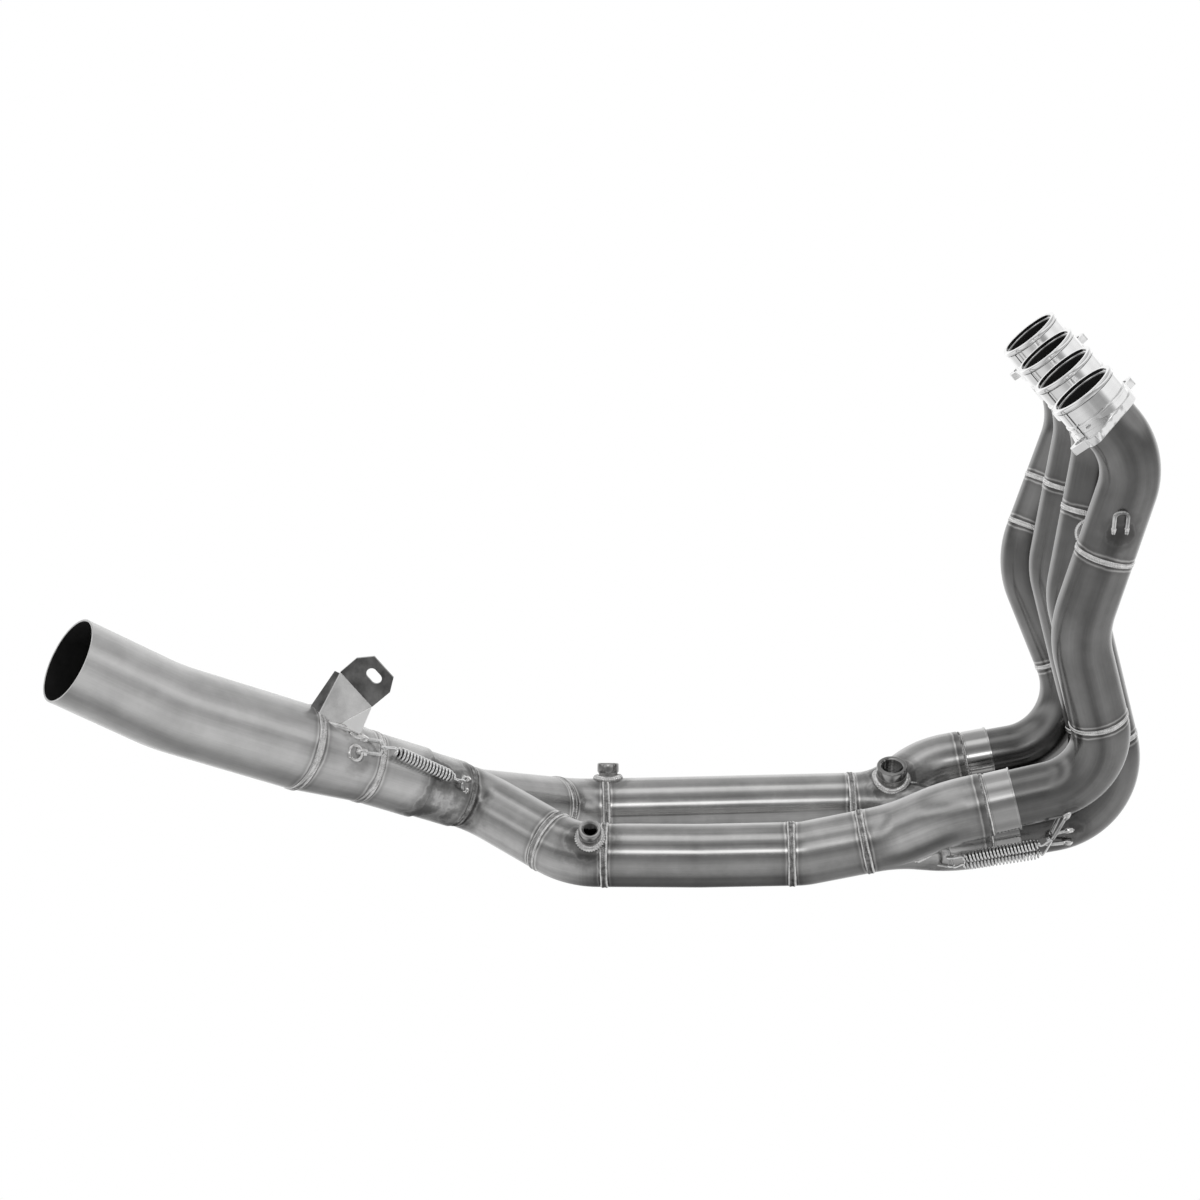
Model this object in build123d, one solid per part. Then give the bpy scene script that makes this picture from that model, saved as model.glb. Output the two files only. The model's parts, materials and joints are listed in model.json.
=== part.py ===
from build123d import *
import math
import os

# Motorcycle exhaust header for an inline four: four primaries, two 2-into-1 collectors with
# sprung slip joints, two secondaries, a rear 2-into-1 collector and a sprung link pipe.
# Millimetres. +X points to the front of the bike, +Y to its left side, +Z up. The origin is the
# middle of the row of four port openings, on the bike's centre plane. Pipe 1 is on the left.

# Tube sizes
PRIMARY_OD = 42.4
SECONDARY_OD = 47.6
OUTLET_OD = 50.8
LINK_OD = 63.5
TUBE_WALL = 1.5
BALANCE_OD = 20.0
SLIP_CLEARANCE = 0.1

# Ports
PORT_PITCH = 87.5
PORT_TILT = 40.8
MOUTH_BORE = 43.3
RIM_OD = 49.6
RIM_LENGTH = 3.9
MOUTH_DEPTH = 3.0

# Split collets, from the rim towards the flange
COLLET_OD = 48.4
COLLET_BORE = 42.6
COLLET_GAP = 0.2
COLLET_BODY = 10.4
COLLET_GROOVE = 0.9
COLLET_GROOVE_DEPTH = 0.8
COLLET_RIDGE = 1.8
COLLET_RIDGE_HEIGHT = 0.8
COLLET_BAND = 4.9
COLLET_KEY = 1.6
COLLET_SLIT = 0.5
COLLET_TURN = 41.0

# Two-stud flange plates: half of the outline as corners across and along the row of ports, the
# other half being the same turned by half a turn
FLANGE_THICKNESS = 5.6
FLANGE_BORE = 43.2
FLANGE_BODY_R = 25.8
EAR_CORNERS = ((-25.6, 2), (-26.6, 20), (-31.5, 23.5), (-31.8, 29), (-21, 33.6), (-19, 39),
               (-13.5, 41.5), (-9.5, 39), (17.5, 19))
EAR_CORNER_R = 2.0
STUD_PCD = 70.0
STUD_TURN = 131.8
STUD_HOLE = 8.5
FLANGE_TURN = {1: 0, 2: 13, 3: -41, 4: 0}

# Slip joint sockets of the front collectors
SOCKET_RING = 3.0
SOCKET_GROOVE = 1.2
SOCKET_GROOVE_DEPTH = 0.5
SOCKET_BAND = 17.3
SOCKET_LIP = 1.2
SOCKET_LIP_HEIGHT = 0.6

# Weld beads
BEAD_WIDTH = 5.0
BEAD_HEIGHT = 0.9
WELD_MARGIN = 3.0

# Sensor bungs
LAMBDA_OD = 24.0
LAMBDA_BORE = 16.4
PROBE_OD = 17.0
PROBE_BORE = 10.6
BUNG_CHAMFER = 1.0

# Springs and the wire loops that hold them
SPRING_WIRE = 2.0
LOOP_WIRE = 3.0
LOOP_BEND = 3.0

# Link pipe
SLEEVE_WALL = 1.5
BRACKET_SHEET = 2.5
BRACKET_SLOT_WIDTH = 8.0
BRACKET_SLOT_LENGTH = 13.0

PORT_DIRECTION = Vector(math.sin(math.radians(PORT_TILT)), 0, -math.cos(math.radians(PORT_TILT)))
PORT_Y = {1: 1.5 * PORT_PITCH, 2: 0.5 * PORT_PITCH, 3: -0.5 * PORT_PITCH, 4: -1.5 * PORT_PITCH}


def port_centre(number):
    return Vector(0, PORT_Y[number], 0)


class Straight:
    """A straight run of a pipe's centre line."""

    def __init__(self, start, end):
        self.start = start
        self.direction = (end - start).normalized()
        self.length = (end - start).length

    def at(self, distance):
        return self.start + self.direction * distance, self.direction

    def solid(self, face, first, last):
        return extrude(face, amount=last - first, dir=self.direction)


class Bend:
    """A circular arc of a pipe's centre line, tangent to the runs before and after it."""

    def __init__(self, start, direction, normal, radius, turn):
        self.start = start
        self.direction = direction
        self.radius = radius
        self.turn = turn
        self.length = radius * turn
        self.axis = Axis(start + normal.cross(direction) * radius, normal)

    def at(self, distance):
        angle = math.degrees(distance / self.radius)
        arm = (self.start - self.axis.position).rotate(Axis((0, 0, 0), self.axis.direction), angle)
        heading = self.direction.rotate(Axis((0, 0, 0), self.axis.direction), angle)
        return self.axis.position + arm, heading

    def solid(self, face, first, last):
        return revolve(face, axis=self.axis, revolution_arc=math.degrees((last - first) / self.radius))


class Route:
    """A centre line of straight runs through corner points, each corner rounded by its radius."""

    def __init__(self, points, radii):
        corners = [Vector(*point) for point in points]
        self.pieces = []
        self.corner_ends = []
        here = corners[0]
        travelled = 0.0
        for before, corner, after, radius in zip(corners, corners[1:], corners[2:], radii):
            inward = (corner - before).normalized()
            outward = (after - corner).normalized()
            turn = math.radians(inward.get_angle(outward))
            reach = radius * math.tan(turn / 2)
            run = Straight(here, corner - inward * reach)
            normal = inward.cross(outward).normalized()
            bend = Bend(corner - inward * reach, inward, normal, radius, turn)
            self.pieces += [run, bend]
            self.corner_ends.append((travelled + run.length, travelled + run.length + bend.length))
            travelled += run.length + bend.length
            here = corner + outward * reach
        self.pieces.append(Straight(here, corners[-1]))
        self.length = travelled + self.pieces[-1].length

    def before(self, corner):
        """Distance along the route at which a corner's arc starts."""
        return self.corner_ends[corner][0]

    def after(self, corner):
        """Distance along the route at which a corner's arc ends."""
        return self.corner_ends[corner][1]

    def at(self, distance):
        """Point and heading at a distance along the route."""
        for piece in self.pieces:
            if distance <= piece.length or piece is self.pieces[-1]:
                return piece.at(distance)
            distance -= piece.length

    def plane(self, distance):
        point, heading = self.at(distance)
        return Plane(origin=point, z_dir=heading)

    def solid(self, outer, inner=0.0, start=0.0, end=None):
        """A rod, or a tube where inner is given, along part of the route."""
        end = self.length if end is None else end
        solids = []
        passed = 0.0
        for piece in self.pieces:
            first = max(start - passed, 0.0)
            last = min(end - passed, piece.length)
            passed += piece.length
            if last - first < 0.01:
                continue
            point, heading = piece.at(first)
            face = Plane(origin=point, z_dir=heading) * Circle(outer)
            if inner > 0:
                face -= Plane(origin=point, z_dir=heading) * Circle(inner)
            solids.append(piece.solid(face, first, last))
        whole = solids[0]
        for solid in solids[1:]:
            whole += solid
        return whole


def turned(profile):
    """A solid of revolution about Z from (radius, height) corners."""
    return revolve(Plane.XZ * make_face(Polyline(*profile, close=True)), Axis.Z)


def bead(plane, radius, *around):
    """A weld bead round a tube: a low arch, less the pieces it lies on."""
    half = BEAD_WIDTH / 2
    arch = ThreePointArc((radius, -half), (radius + BEAD_HEIGHT, 0), (radius, half))
    ring = revolve(Plane.XZ * make_face([arch, Line((radius, half), (radius, -half))]), Axis.Z)
    ring = plane * ring
    for piece in around:
        ring -= piece
    return ring.solids().sort_by(SortBy.VOLUME)[-1]


def wire(points, radii, thickness):
    """A bent round wire through corner points."""
    return Route(points, radii).solid(thickness / 2)


def cylinder_at(point, direction, radius, length):
    """A rod that starts at a point and runs along a direction."""
    return extrude(Plane(origin=point, z_dir=direction) * Circle(radius), amount=length)


def write(node, solid):
    export_step(solid, "parts/" + node + ".step")


os.makedirs("parts", exist_ok=True)
wall = TUBE_WALL
primary_r = PRIMARY_OD / 2
secondary_r = SECONDARY_OD / 2
outlet_r = OUTLET_OD / 2
link_r = LINK_OD / 2

# Front collector sockets: where each starts, and the way its axis points to the primary
SOCKET_LENGTH = SOCKET_RING + SOCKET_GROOVE + SOCKET_BAND + SOCKET_LIP
SOCKET_START = {
    1: Vector(-46.5, 87, -335.5),
    2: Vector(-38, 45, -366.5),
    3: Vector(-42, -46, -352),
    4: Vector(-50, -87, -316),
}
SOCKET_AXIS = {
    1: Vector(25.3, 1, 4.6).normalized(),
    2: Vector(25, 0, 4.6).normalized(),
    3: Vector(22, 0, 4.2).normalized(),
    4: Vector(22.3, -1, 5.8).normalized(),
}

# Bend tables: straight reach from the port to the first corner, the elbow, the reach from the
# socket forward to the lower corner, and the three bend radii
FIRST_REACH = {1: 68, 2: 52.5, 3: 52.5, 4: 64}
ELBOW = {1: (-0.6, 113, -178.5), 2: (15.3, 46.3, -167.3), 3: (15.3, -46.3, -167.3), 4: (7.7, -116.4, -177.5)}
LOWER_REACH = {1: 106, 2: 105, 3: 105, 4: 95}
BEND_RADII = {1: (61, 61, 53), 2: (66, 51, 51), 3: (66, 51, 51), 4: (48, 73, 46)}
INSERTION = 18.0


def primary_route(number):
    port = port_centre(number)
    start = SOCKET_START[number]
    axis = SOCKET_AXIS[number]
    mouth_end = start + axis * (SOCKET_LENGTH - INSERTION)
    points = [port, port + PORT_DIRECTION * FIRST_REACH[number], Vector(*ELBOW[number]),
              start + axis * LOWER_REACH[number], mouth_end]
    return Route([tuple(point) for point in points], BEND_RADII[number])


# Where the welds of each primary lie after its first bend, the first one on pipe 1 only
FIRST_WELD = 34.0
UPPER_WELD = {1: 72.0, 2: 34.0, 3: 34.0, 4: 48.0}

primaries = {number: primary_route(number) for number in (1, 2, 3, 4)}
primary_welds = []
for number, route in primaries.items():
    upper = route.after(0) + UPPER_WELD[number]
    lower = route.before(2) - WELD_MARGIN
    cuts = [MOUTH_DEPTH, upper, lower, route.length]
    names = ["upper", "middle", "lower"]
    if number == 1:
        cuts.insert(1, route.after(0) + FIRST_WELD)
        names.insert(0, "top")
    for name, start, end in zip(names, cuts, cuts[1:]):
        write(f"primary_{number}_{name}", route.solid(primary_r, primary_r - wall, start, end))
    primary_welds += [route.plane(cut) for cut in cuts[1:-1]]

# Port rims, collets and flanges, all stacked along the port axis
collet_start = RIM_LENGTH + COLLET_GAP
groove_start = collet_start + COLLET_BODY
ridge_start = groove_start + COLLET_GROOVE
band_start = ridge_start + COLLET_RIDGE
collet_end = band_start + COLLET_BAND
bore_r = COLLET_BORE / 2
body_r = COLLET_OD / 2
rim_profile = [
    (MOUTH_BORE / 2, 0), (RIM_OD / 2 - 0.6, 0), (RIM_OD / 2, 0.6), (RIM_OD / 2, RIM_LENGTH - 0.8),
    (RIM_OD / 2 - 0.8, RIM_LENGTH), (bore_r, RIM_LENGTH), (bore_r, MOUTH_DEPTH - 0.4),
    (MOUTH_BORE / 2, MOUTH_DEPTH - 0.4),
]
collet_profile = [
    (bore_r, collet_start), (body_r, collet_start), (body_r, groove_start),
    (body_r - COLLET_GROOVE_DEPTH, groove_start), (body_r - COLLET_GROOVE_DEPTH, ridge_start),
    (body_r + COLLET_RIDGE_HEIGHT, ridge_start), (body_r + COLLET_RIDGE_HEIGHT, band_start),
    (body_r, band_start), (body_r, collet_end), (bore_r, collet_end),
]
rim = turned(rim_profile)
whole_collet = turned(collet_profile)
key_plane = Rot(0, 0, 180 - COLLET_TURN)
slab = key_plane * Box(4 * body_r, COLLET_KEY + 2 * COLLET_SLIT, 4 * collet_end)
key_slab = key_plane * Box(4 * body_r, COLLET_KEY, 4 * collet_end)
inset = turned([(0, 0), (body_r - 0.5, 0), (body_r - 0.5, collet_end), (0, collet_end)])
collet_halves = (whole_collet - slab).solids()
collet_keys = (whole_collet & key_slab & inset).solids()
corners = [Vector(*corner) for corner in EAR_CORNERS]
corners += [-corner for corner in corners]
outline = fillet(Polyline(*corners, close=True).vertices(), EAR_CORNER_R)
plate_face = make_face(outline) + Circle(FLANGE_BODY_R) - Circle(FLANGE_BORE / 2)
for half_turn in (0, 180):
    plate_face -= Rot(0, 0, STUD_TURN + half_turn) * Pos(STUD_PCD / 2, 0) * Circle(STUD_HOLE / 2)
plate = Pos(0, 0, collet_end) * extrude(plate_face, FLANGE_THICKNESS)
port_across = Vector(math.cos(math.radians(PORT_TILT)), 0, math.sin(math.radians(PORT_TILT)))
seats = {
    number: Plane(origin=port_centre(number), z_dir=PORT_DIRECTION, x_dir=port_across)
    for number in (1, 2, 3, 4)
}
write("port_rims", Compound(children=[seat * rim for seat in seats.values()]))
write("port_collets", Compound(children=[seat * half for seat in seats.values() for half in collet_halves]))
write("collet_keys", Compound(children=[seat * key for seat in seats.values() for key in collet_keys]))
for number, seat in seats.items():
    own = plate if number in (3, 4) else mirror(plate, Plane.XZ)
    write(f"port_flange_{number}", seat * Rot(0, 0, FLANGE_TURN[number]) * own)

# Balance tubes across pipes 1 and 2, and across pipes 3 and 4
BALANCE_STATION = 47.5
balance_rods = []
for side, outside, inside in (("left", 1, 2), ("right", 4, 3)):
    middle, _ = primaries[inside].at(primaries[inside].after(0) + BALANCE_STATION)
    reach = PORT_Y[outside] - middle.Y
    way = Vector(0, math.copysign(1, reach), 0)
    rod = cylinder_at(middle, way, BALANCE_OD / 2, abs(reach))
    tube = rod - cylinder_at(middle, way, BALANCE_OD / 2 - wall, abs(reach))
    for number in (outside, inside):
        tube -= primaries[number].solid(primary_r, start=primaries[number].after(0))
    balance_rods.append(rod)
    write(f"balance_tube_{side}", tube.solids().sort_by(SortBy.VOLUME)[-1])
primary_beads = [bead(weld, primary_r, *balance_rods) for weld in primary_welds]
write("primary_weld_beads", Compound(children=primary_beads))

# Slip joint sockets
socket_r = primary_r + SLIP_CLEARANCE
socket_out = socket_r + wall
ring_end = SOCKET_RING
band_from = SOCKET_RING + SOCKET_GROOVE
band_to = band_from + SOCKET_BAND
socket = turned([
    (socket_r, 0), (socket_out, 0), (socket_out, ring_end), (socket_out - SOCKET_GROOVE_DEPTH, ring_end),
    (socket_out - SOCKET_GROOVE_DEPTH, band_from), (socket_out, band_from), (socket_out, band_to),
    (socket_out + SOCKET_LIP_HEIGHT, band_to), (socket_out + SOCKET_LIP_HEIGHT, SOCKET_LENGTH),
    (socket_r, SOCKET_LENGTH),
])
for number in (1, 2, 3, 4):
    seat = Plane(origin=SOCKET_START[number], z_dir=SOCKET_AXIS[number])
    write(f"slip_socket_{number}", seat * socket)

# Front collectors: both legs of each leave the junction along the secondary tube and turn to the sockets
NEAR_WELD = Vector(-180.4, -63, -362.2)
NEAR_JUNCTION = Vector(-134.7, -65, -351.8)
FAR_JUNCTION = Vector(-135.5, 63, -363)
NEAR_HEADING = (NEAR_JUNCTION - NEAR_WELD).normalized()
FAR_HEADING = (FAR_JUNCTION - Vector(-253.9, 59.5, -365.5)).normalized()
LEG_START = 22.0
LEG_END = 26.0
LEG_RADIUS = 60.0
LAMBDA_MOUTH = Vector(-104.6, 50, -328)
LAMBDA_FOOT = Vector(-104.6, 64, -362)


def leg_route(junction, heading, number):
    start = SOCKET_START[number]
    points = [junction, junction + heading * LEG_START, start - SOCKET_AXIS[number] * LEG_END, start]
    return Route([tuple(point) for point in points], (LEG_RADIUS, LEG_RADIUS))


def joined(routes, outer, inner):
    """Two pipes that run into one: the outsides joined, less both insides."""
    outside = routes[0].solid(outer) + routes[1].solid(outer)
    return outside - routes[0].solid(inner) - routes[1].solid(inner), outside


near_legs = [leg_route(NEAR_JUNCTION, NEAR_HEADING, number) for number in (4, 3)]
far_legs = [leg_route(FAR_JUNCTION, FAR_HEADING, number) for number in (1, 2)]
near_collector, near_outside = joined(near_legs, secondary_r, secondary_r - wall)
far_collector, far_outside = joined(far_legs, secondary_r, secondary_r - wall)
lambda_axis = (LAMBDA_MOUTH - LAMBDA_FOOT).normalized()
lambda_drop = (LAMBDA_MOUTH - LAMBDA_FOOT).length
lambda_drill = cylinder_at(LAMBDA_MOUTH + lambda_axis, -lambda_axis, LAMBDA_BORE / 2, lambda_drop)
far_collector -= lambda_drill
write("near_collector", near_collector)
write("far_collector", far_collector)


def bung(mouth, foot, outer, bore, outside):
    """A threaded boss whose foot follows the tube it is welded to."""
    axis = (mouth - foot).normalized()
    length = (mouth - foot).length
    body = Plane(origin=foot, z_dir=axis) * turned([
        (bore / 2 + 1, length), (outer / 2 - BUNG_CHAMFER, length), (outer / 2, length - BUNG_CHAMFER),
        (outer / 2, 5), (bore / 2, 5), (bore / 2, length - 1),
    ])
    return (body - outside).solids().sort_by(SortBy.VOLUME)[-1]


write("lambda_bung", bung(LAMBDA_MOUTH, LAMBDA_FOOT, LAMBDA_OD, LAMBDA_BORE, far_outside))

# Secondary tubes, elbows and the rear collector on the link pipe's axis
NEAR_SECONDARY = (
    (-134.7, -65, -351.8), (-180.4, -63, -362.2),
    (-256.9, -59.5, -365.4), (-328, -56.5, -366.4),
)
FAR_SECONDARY = ((-135.5, 63, -363), (-253.9, 59.5, -365.5), (-328, 56.7, -366.7))
NECK_BEND = 60.0
SECONDARY_BEND = 300.0
ELBOW_REACH = 24.0
NEAR_ELBOW_R = 62.0
FAR_ELBOW_R = 50.0
OUTLET_START = Vector(-443.3, -20, -330)
LINK_CORNER = Vector(-641, -128, -232)
LINK_END = Vector(-703, -160, -190)
LINK_BEND_R = 200.0
REAR_TURN_R = 35.0
REAR_TURN_BACK = 22.0
outlet_axis = (LINK_CORNER - OUTLET_START).normalized()
rear_corner = OUTLET_START - outlet_axis * REAR_TURN_BACK
near_tube = Route(NEAR_SECONDARY, (NECK_BEND, SECONDARY_BEND))
neck_cut = near_tube.after(0) + WELD_MARGIN
far_tube = Route(FAR_SECONDARY, (SECONDARY_BEND,))


def rear_route(tube, radius):
    end, heading = tube.at(tube.length)
    points = [end, end + heading * ELBOW_REACH, rear_corner, OUTLET_START]
    return Route([tuple(point) for point in points], (radius, REAR_TURN_R))


near_rear = rear_route(near_tube, NEAR_ELBOW_R)
far_rear = rear_route(far_tube, FAR_ELBOW_R)
near_cut = near_rear.after(0) + WELD_MARGIN
far_cut = far_rear.after(0) + WELD_MARGIN
secondary_in = secondary_r - wall

PROBE_NEAR = (Vector(-339, -79, -338.2), Vector(-339, -57, -366.4))
PROBE_FAR = (Vector(-326.4, 67.2, -332.4), Vector(-326.4, 56.7, -366.7))
near_drill = cylinder_at(PROBE_NEAR[0], (PROBE_NEAR[1] - PROBE_NEAR[0]).normalized(), PROBE_BORE / 2, 30)
far_drill = cylinder_at(PROBE_FAR[0], (PROBE_FAR[1] - PROBE_FAR[0]).normalized(), PROBE_BORE / 2, 30)
near_elbow = near_rear.solid(secondary_r, secondary_in, 0, near_cut) - near_drill
far_elbow = far_rear.solid(secondary_r, secondary_in, 0, far_cut) - far_drill
far_secondary = far_tube.solid(secondary_r, secondary_in) - far_drill
write("near_collector_neck", near_tube.solid(secondary_r, secondary_in, 0, neck_cut))
write("near_secondary", near_tube.solid(secondary_r, secondary_in, neck_cut))
write("far_secondary", far_secondary)
write("near_elbow", near_elbow)
write("far_elbow", far_elbow)
near_around = near_rear.solid(secondary_r, 0, 0, near_cut) + near_tube.solid(secondary_r)
far_around = far_rear.solid(secondary_r, 0, 0, far_cut) + far_tube.solid(secondary_r)
write("probe_bung_near", bung(*PROBE_NEAR, PROBE_OD, PROBE_BORE, near_around))
write("probe_bung_far", bung(*PROBE_FAR, PROBE_OD, PROBE_BORE, far_around))

rear_outside = near_rear.solid(secondary_r, 0, near_cut) + far_rear.solid(secondary_r, 0, far_cut)
rear_collector = rear_outside - near_rear.solid(secondary_in, 0, near_cut - 1) \
    - far_rear.solid(secondary_in, 0, far_cut - 1)
write("rear_collector", rear_collector)

# Outlet stub, slip sleeve, cone and link pipe, all on one axis up to the link pipe's bend
STUB_LAP = 2.0
SLEEVE_START = 33.0
CONE_START = 79.0
CONE_END = 133.4
STUB_END = 68.0
link_start = OUTLET_START - outlet_axis * STUB_LAP
link = Route([tuple(link_start), tuple(LINK_CORNER), tuple(LINK_END)], (LINK_BEND_R,))
sleeve_in = outlet_r + SLIP_CLEARANCE
sleeve_out = sleeve_in + SLEEVE_WALL
stub_in = secondary_r + SLIP_CLEARANCE
write("outlet_stub", link.solid(outlet_r, stub_in, 0, STUB_END + STUB_LAP))
write("slip_sleeve", link.solid(sleeve_out, sleeve_in, SLEEVE_START + STUB_LAP, CONE_START + STUB_LAP))
cone_plane = Plane(origin=OUTLET_START + outlet_axis * CONE_START, z_dir=outlet_axis)
cone_length = CONE_END - CONE_START
cone_profile = [(sleeve_in, 0), (sleeve_out, 0), (link_r, cone_length), (link_r - wall, cone_length)]
cone = cone_plane * turned(cone_profile)
cone_solid = cone_plane * turned([(0, 0), (sleeve_out, 0), (link_r, cone_length), (0, cone_length)])
write("link_cone", cone)
write("link_pipe", link.solid(link_r, link_r - wall, CONE_END + STUB_LAP))

socket_rods = {
    number: cylinder_at(SOCKET_START[number], SOCKET_AXIS[number], socket_out, SOCKET_LENGTH)
    for number in (1, 2, 3, 4)
}
collector_beads = []
for number in (1, 2, 3, 4):
    place = Plane(origin=SOCKET_START[number], z_dir=SOCKET_AXIS[number])
    outside = near_outside if number > 2 else far_outside
    collector_beads.append(bead(place, socket_out, outside, socket_rods[number]))
write("socket_weld_beads", Compound(children=collector_beads))
far_probe_rod = cylinder_at(PROBE_FAR[1], PROBE_FAR[0] - PROBE_FAR[1], PROBE_OD / 2, 40)
near_probe_rod = cylinder_at(PROBE_NEAR[1], PROBE_NEAR[0] - PROBE_NEAR[1], PROBE_OD / 2, 40)
secondary_beads = [
    bead(near_tube.plane(0), secondary_r), bead(near_tube.plane(neck_cut), secondary_r),
    bead(far_tube.plane(0), secondary_r), bead(near_rear.plane(0), secondary_r, near_probe_rod),
    bead(far_rear.plane(0), secondary_r, far_probe_rod), bead(near_rear.plane(near_cut), secondary_r),
    bead(far_rear.plane(far_cut), secondary_r),
]
write("secondary_weld_beads", Compound(children=secondary_beads))
outlet_bead = Plane(origin=OUTLET_START - outlet_axis * (STUB_LAP + BEAD_WIDTH / 2), z_dir=outlet_axis)
link_beads = [
    bead(outlet_bead, secondary_r, rear_outside),
    bead(cone_plane, sleeve_out, cone_solid),
    bead(link.plane(CONE_END + STUB_LAP), link_r),
]
write("link_weld_beads", Compound(children=link_beads))

# Springs with their end hooks, and the wire loops welded to the tubes
NEAR_LOOP = ((-90, -66, -345), (-75.5, -86, -351), (-71.5, -83, -365), (-86, -63, -369))
FAR_LOOP = ((-86, 66, -362), (-72, 86, -368), (-68, 83, -382), (-82, 63, -386))
UPPER_HOOK = {4: ((10, -103, -314), (-1, -98, -338), (-1, -86, -339), (10, -80, -317)),
              1: ((13, 103, -333), (2, 98, -357), (2, 86, -358), (13, 80, -336))}
LOWER_HOOK = {3: ((19, -66, -341), (1, -73.5, -343), (0, -73.5, -350.5), (18, -66, -351)),
              2: ((23, 65, -355), (5, 72.5, -357), (4, 72.5, -364.5), (22, 65, -365))}
UPPER_SPRING = {4: ((-63.9, -85.5, -357), (-9, -89, -345)), 1: ((-60.4, 85.5, -374), (-5.5, 89, -363))}
LOWER_SPRING = {3: ((-62.3, -77, -365.5), (-5.5, -74.5, -357)), 2: ((-58.8, 77, -382), (-1.5, 73.5, -371.5))}
COIL_OD = 8.6
COIL_WIRE = 1.6
LINK_COIL_OD = 10.0
LINK_COIL_STAND = 7.8
LINK_COIL_SPAN = ((21.5, 63), (72.5, 51.5))
LINK_LOOP_AT = (83.5, 51.5)
OUTLET_LOOP_AT = (11.5, 63)
LINK_LOOP_WIDTH = 12.0
LINK_LOOP_REACH = 17.0
OUTLET_LOOP_REACH = 8.0
LINK_LOOP_RISE = 5.0
HANGER_AT = Vector(29, -148, -91)
HANGER_WIDTH = 9.7
HANGER_REACH = 14.0
HANGER_RISE = 5.0
SPRING_HOOK = {4: ((-73, -85, -357), (-1.5, -91.5, -340)), 1: ((-69.5, 85, -374), (1.5, 91.5, -359)),
               3: ((-71.5, -82.5, -364.5), (0.5, -73.8, -349)), 2: ((-68, 82.5, -381.5), (4.5, 72.5, -363))}


def coil_body(start, end, outer, thickness):
    """The coils of a spring as one hollow body, its outside and inside on the wire's."""
    span = Vector(*end) - Vector(*start)
    seat = Plane(origin=Vector(*start), z_dir=span.normalized())
    return seat * turned([(outer / 2 - thickness, 0), (outer / 2, 0), (outer / 2, span.length),
                          (outer / 2 - thickness, span.length)])


def spring(ends, hooks, outer, thickness, away):
    """A tension spring: its coils and the two hooks that reach the loops."""
    body = coil_body(*ends, outer, thickness)
    middle = outer / 2 - thickness / 2
    for end, other, hook in ((ends[0], ends[1], hooks[0]), (ends[1], ends[0], hooks[1])):
        inward = (Vector(*other) - Vector(*end)).normalized()
        side = (away - inward * away.dot(inward)).normalized()
        foot = Vector(*end) + inward * thickness + side * middle
        reach = Vector(*hook) - foot
        body += cylinder_at(foot, reach.normalized(), thickness / 2, reach.length)
    return body


def on_link(distance, angle, radius):
    """A frame on the link pipe's side: Z outwards, Y along the pipe to its open end, X round it."""
    up = (Vector(0, 0, 1) - outlet_axis * outlet_axis.Z).normalized()
    outward = up.rotate(Axis((0, 0, 0), outlet_axis), -angle)
    place = OUTLET_START + outlet_axis * distance + outward * radius
    return Plane(origin=place, z_dir=outward, x_dir=outlet_axis.cross(outward))


def u_loop(seat, width, reach, rise):
    """Corner points of a U of wire whose closed end stands over the seat and whose legs run to -Y."""
    local = ((-width / 2, -reach, -1), (-width / 2, 0, rise), (width / 2, 0, rise), (width / 2, -reach, -1))
    return [tuple(seat.from_local_coords(Vector(*point))) for point in local]


_, hanger_run = primaries[4].at(primaries[4].after(0) + 10)
hanger_out = (Vector(0, -1, 0) + hanger_run * hanger_run.Y).normalized()
hanger_start = HANGER_AT - hanger_run * HANGER_REACH / 2
hanger_seat = Plane(origin=hanger_start, z_dir=hanger_out, x_dir=hanger_out.cross(hanger_run))
HANGER_LOOP = u_loop(hanger_seat, HANGER_WIDTH, HANGER_REACH, HANGER_RISE)
link_seat = on_link(*LINK_LOOP_AT, sleeve_out)
outlet_seat = on_link(*OUTLET_LOOP_AT, outlet_r)
LINK_LOOP = u_loop(link_seat, LINK_LOOP_WIDTH, -LINK_LOOP_REACH, LINK_LOOP_RISE + 1)
OUTLET_LOOP = u_loop(outlet_seat, LINK_LOOP_WIDTH - 2, OUTLET_LOOP_REACH, LINK_LOOP_RISE)
loops = {}
pipes = {
    number: primaries[number].solid(primary_r, start=primaries[number].before(2))
    for number in (1, 2, 3, 4)
}
for name, points, around in (
    ("near_collector_loop", NEAR_LOOP, near_outside), ("far_collector_loop", FAR_LOOP, far_outside),
    ("pipe_4_loop", UPPER_HOOK[4], pipes[4]), ("pipe_1_loop", UPPER_HOOK[1], pipes[1]),
    ("pipe_3_loop", LOWER_HOOK[3], pipes[3]), ("pipe_2_loop", LOWER_HOOK[2], pipes[2]),
    ("link_loop", LINK_LOOP, cone_solid + link.solid(sleeve_out, 0, SLEEVE_START, CONE_START + STUB_LAP)),
    ("outlet_loop", OUTLET_LOOP, rear_outside + link.solid(outlet_r, 0, 0, STUB_END)),
    ("hanger_loop", HANGER_LOOP, primaries[4].solid(primary_r, start=primaries[4].after(0))),
):
    loop = wire(points, (LOOP_BEND, LOOP_BEND), LOOP_WIRE) - around
    loops[name] = loop.solids().sort_by(SortBy.VOLUME)[-1]
for name in ("near_collector_loop", "far_collector_loop", "link_loop", "outlet_loop", "hanger_loop"):
    write(name, loops[name])
write("pipe_loops", Compound(children=[loops[f"pipe_{number}_loop"] for number in (1, 2, 3, 4)]))
for number, ends in (UPPER_SPRING | LOWER_SPRING).items():
    away = Vector(0, -1 if number > 2 else 1, 0)
    body = spring(ends, SPRING_HOOK[number], COIL_OD, COIL_WIRE, away)
    for loop in loops.values():
        body -= loop
    write(f"slip_spring_{number}", body.solids().sort_by(SortBy.VOLUME)[-1])
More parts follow.
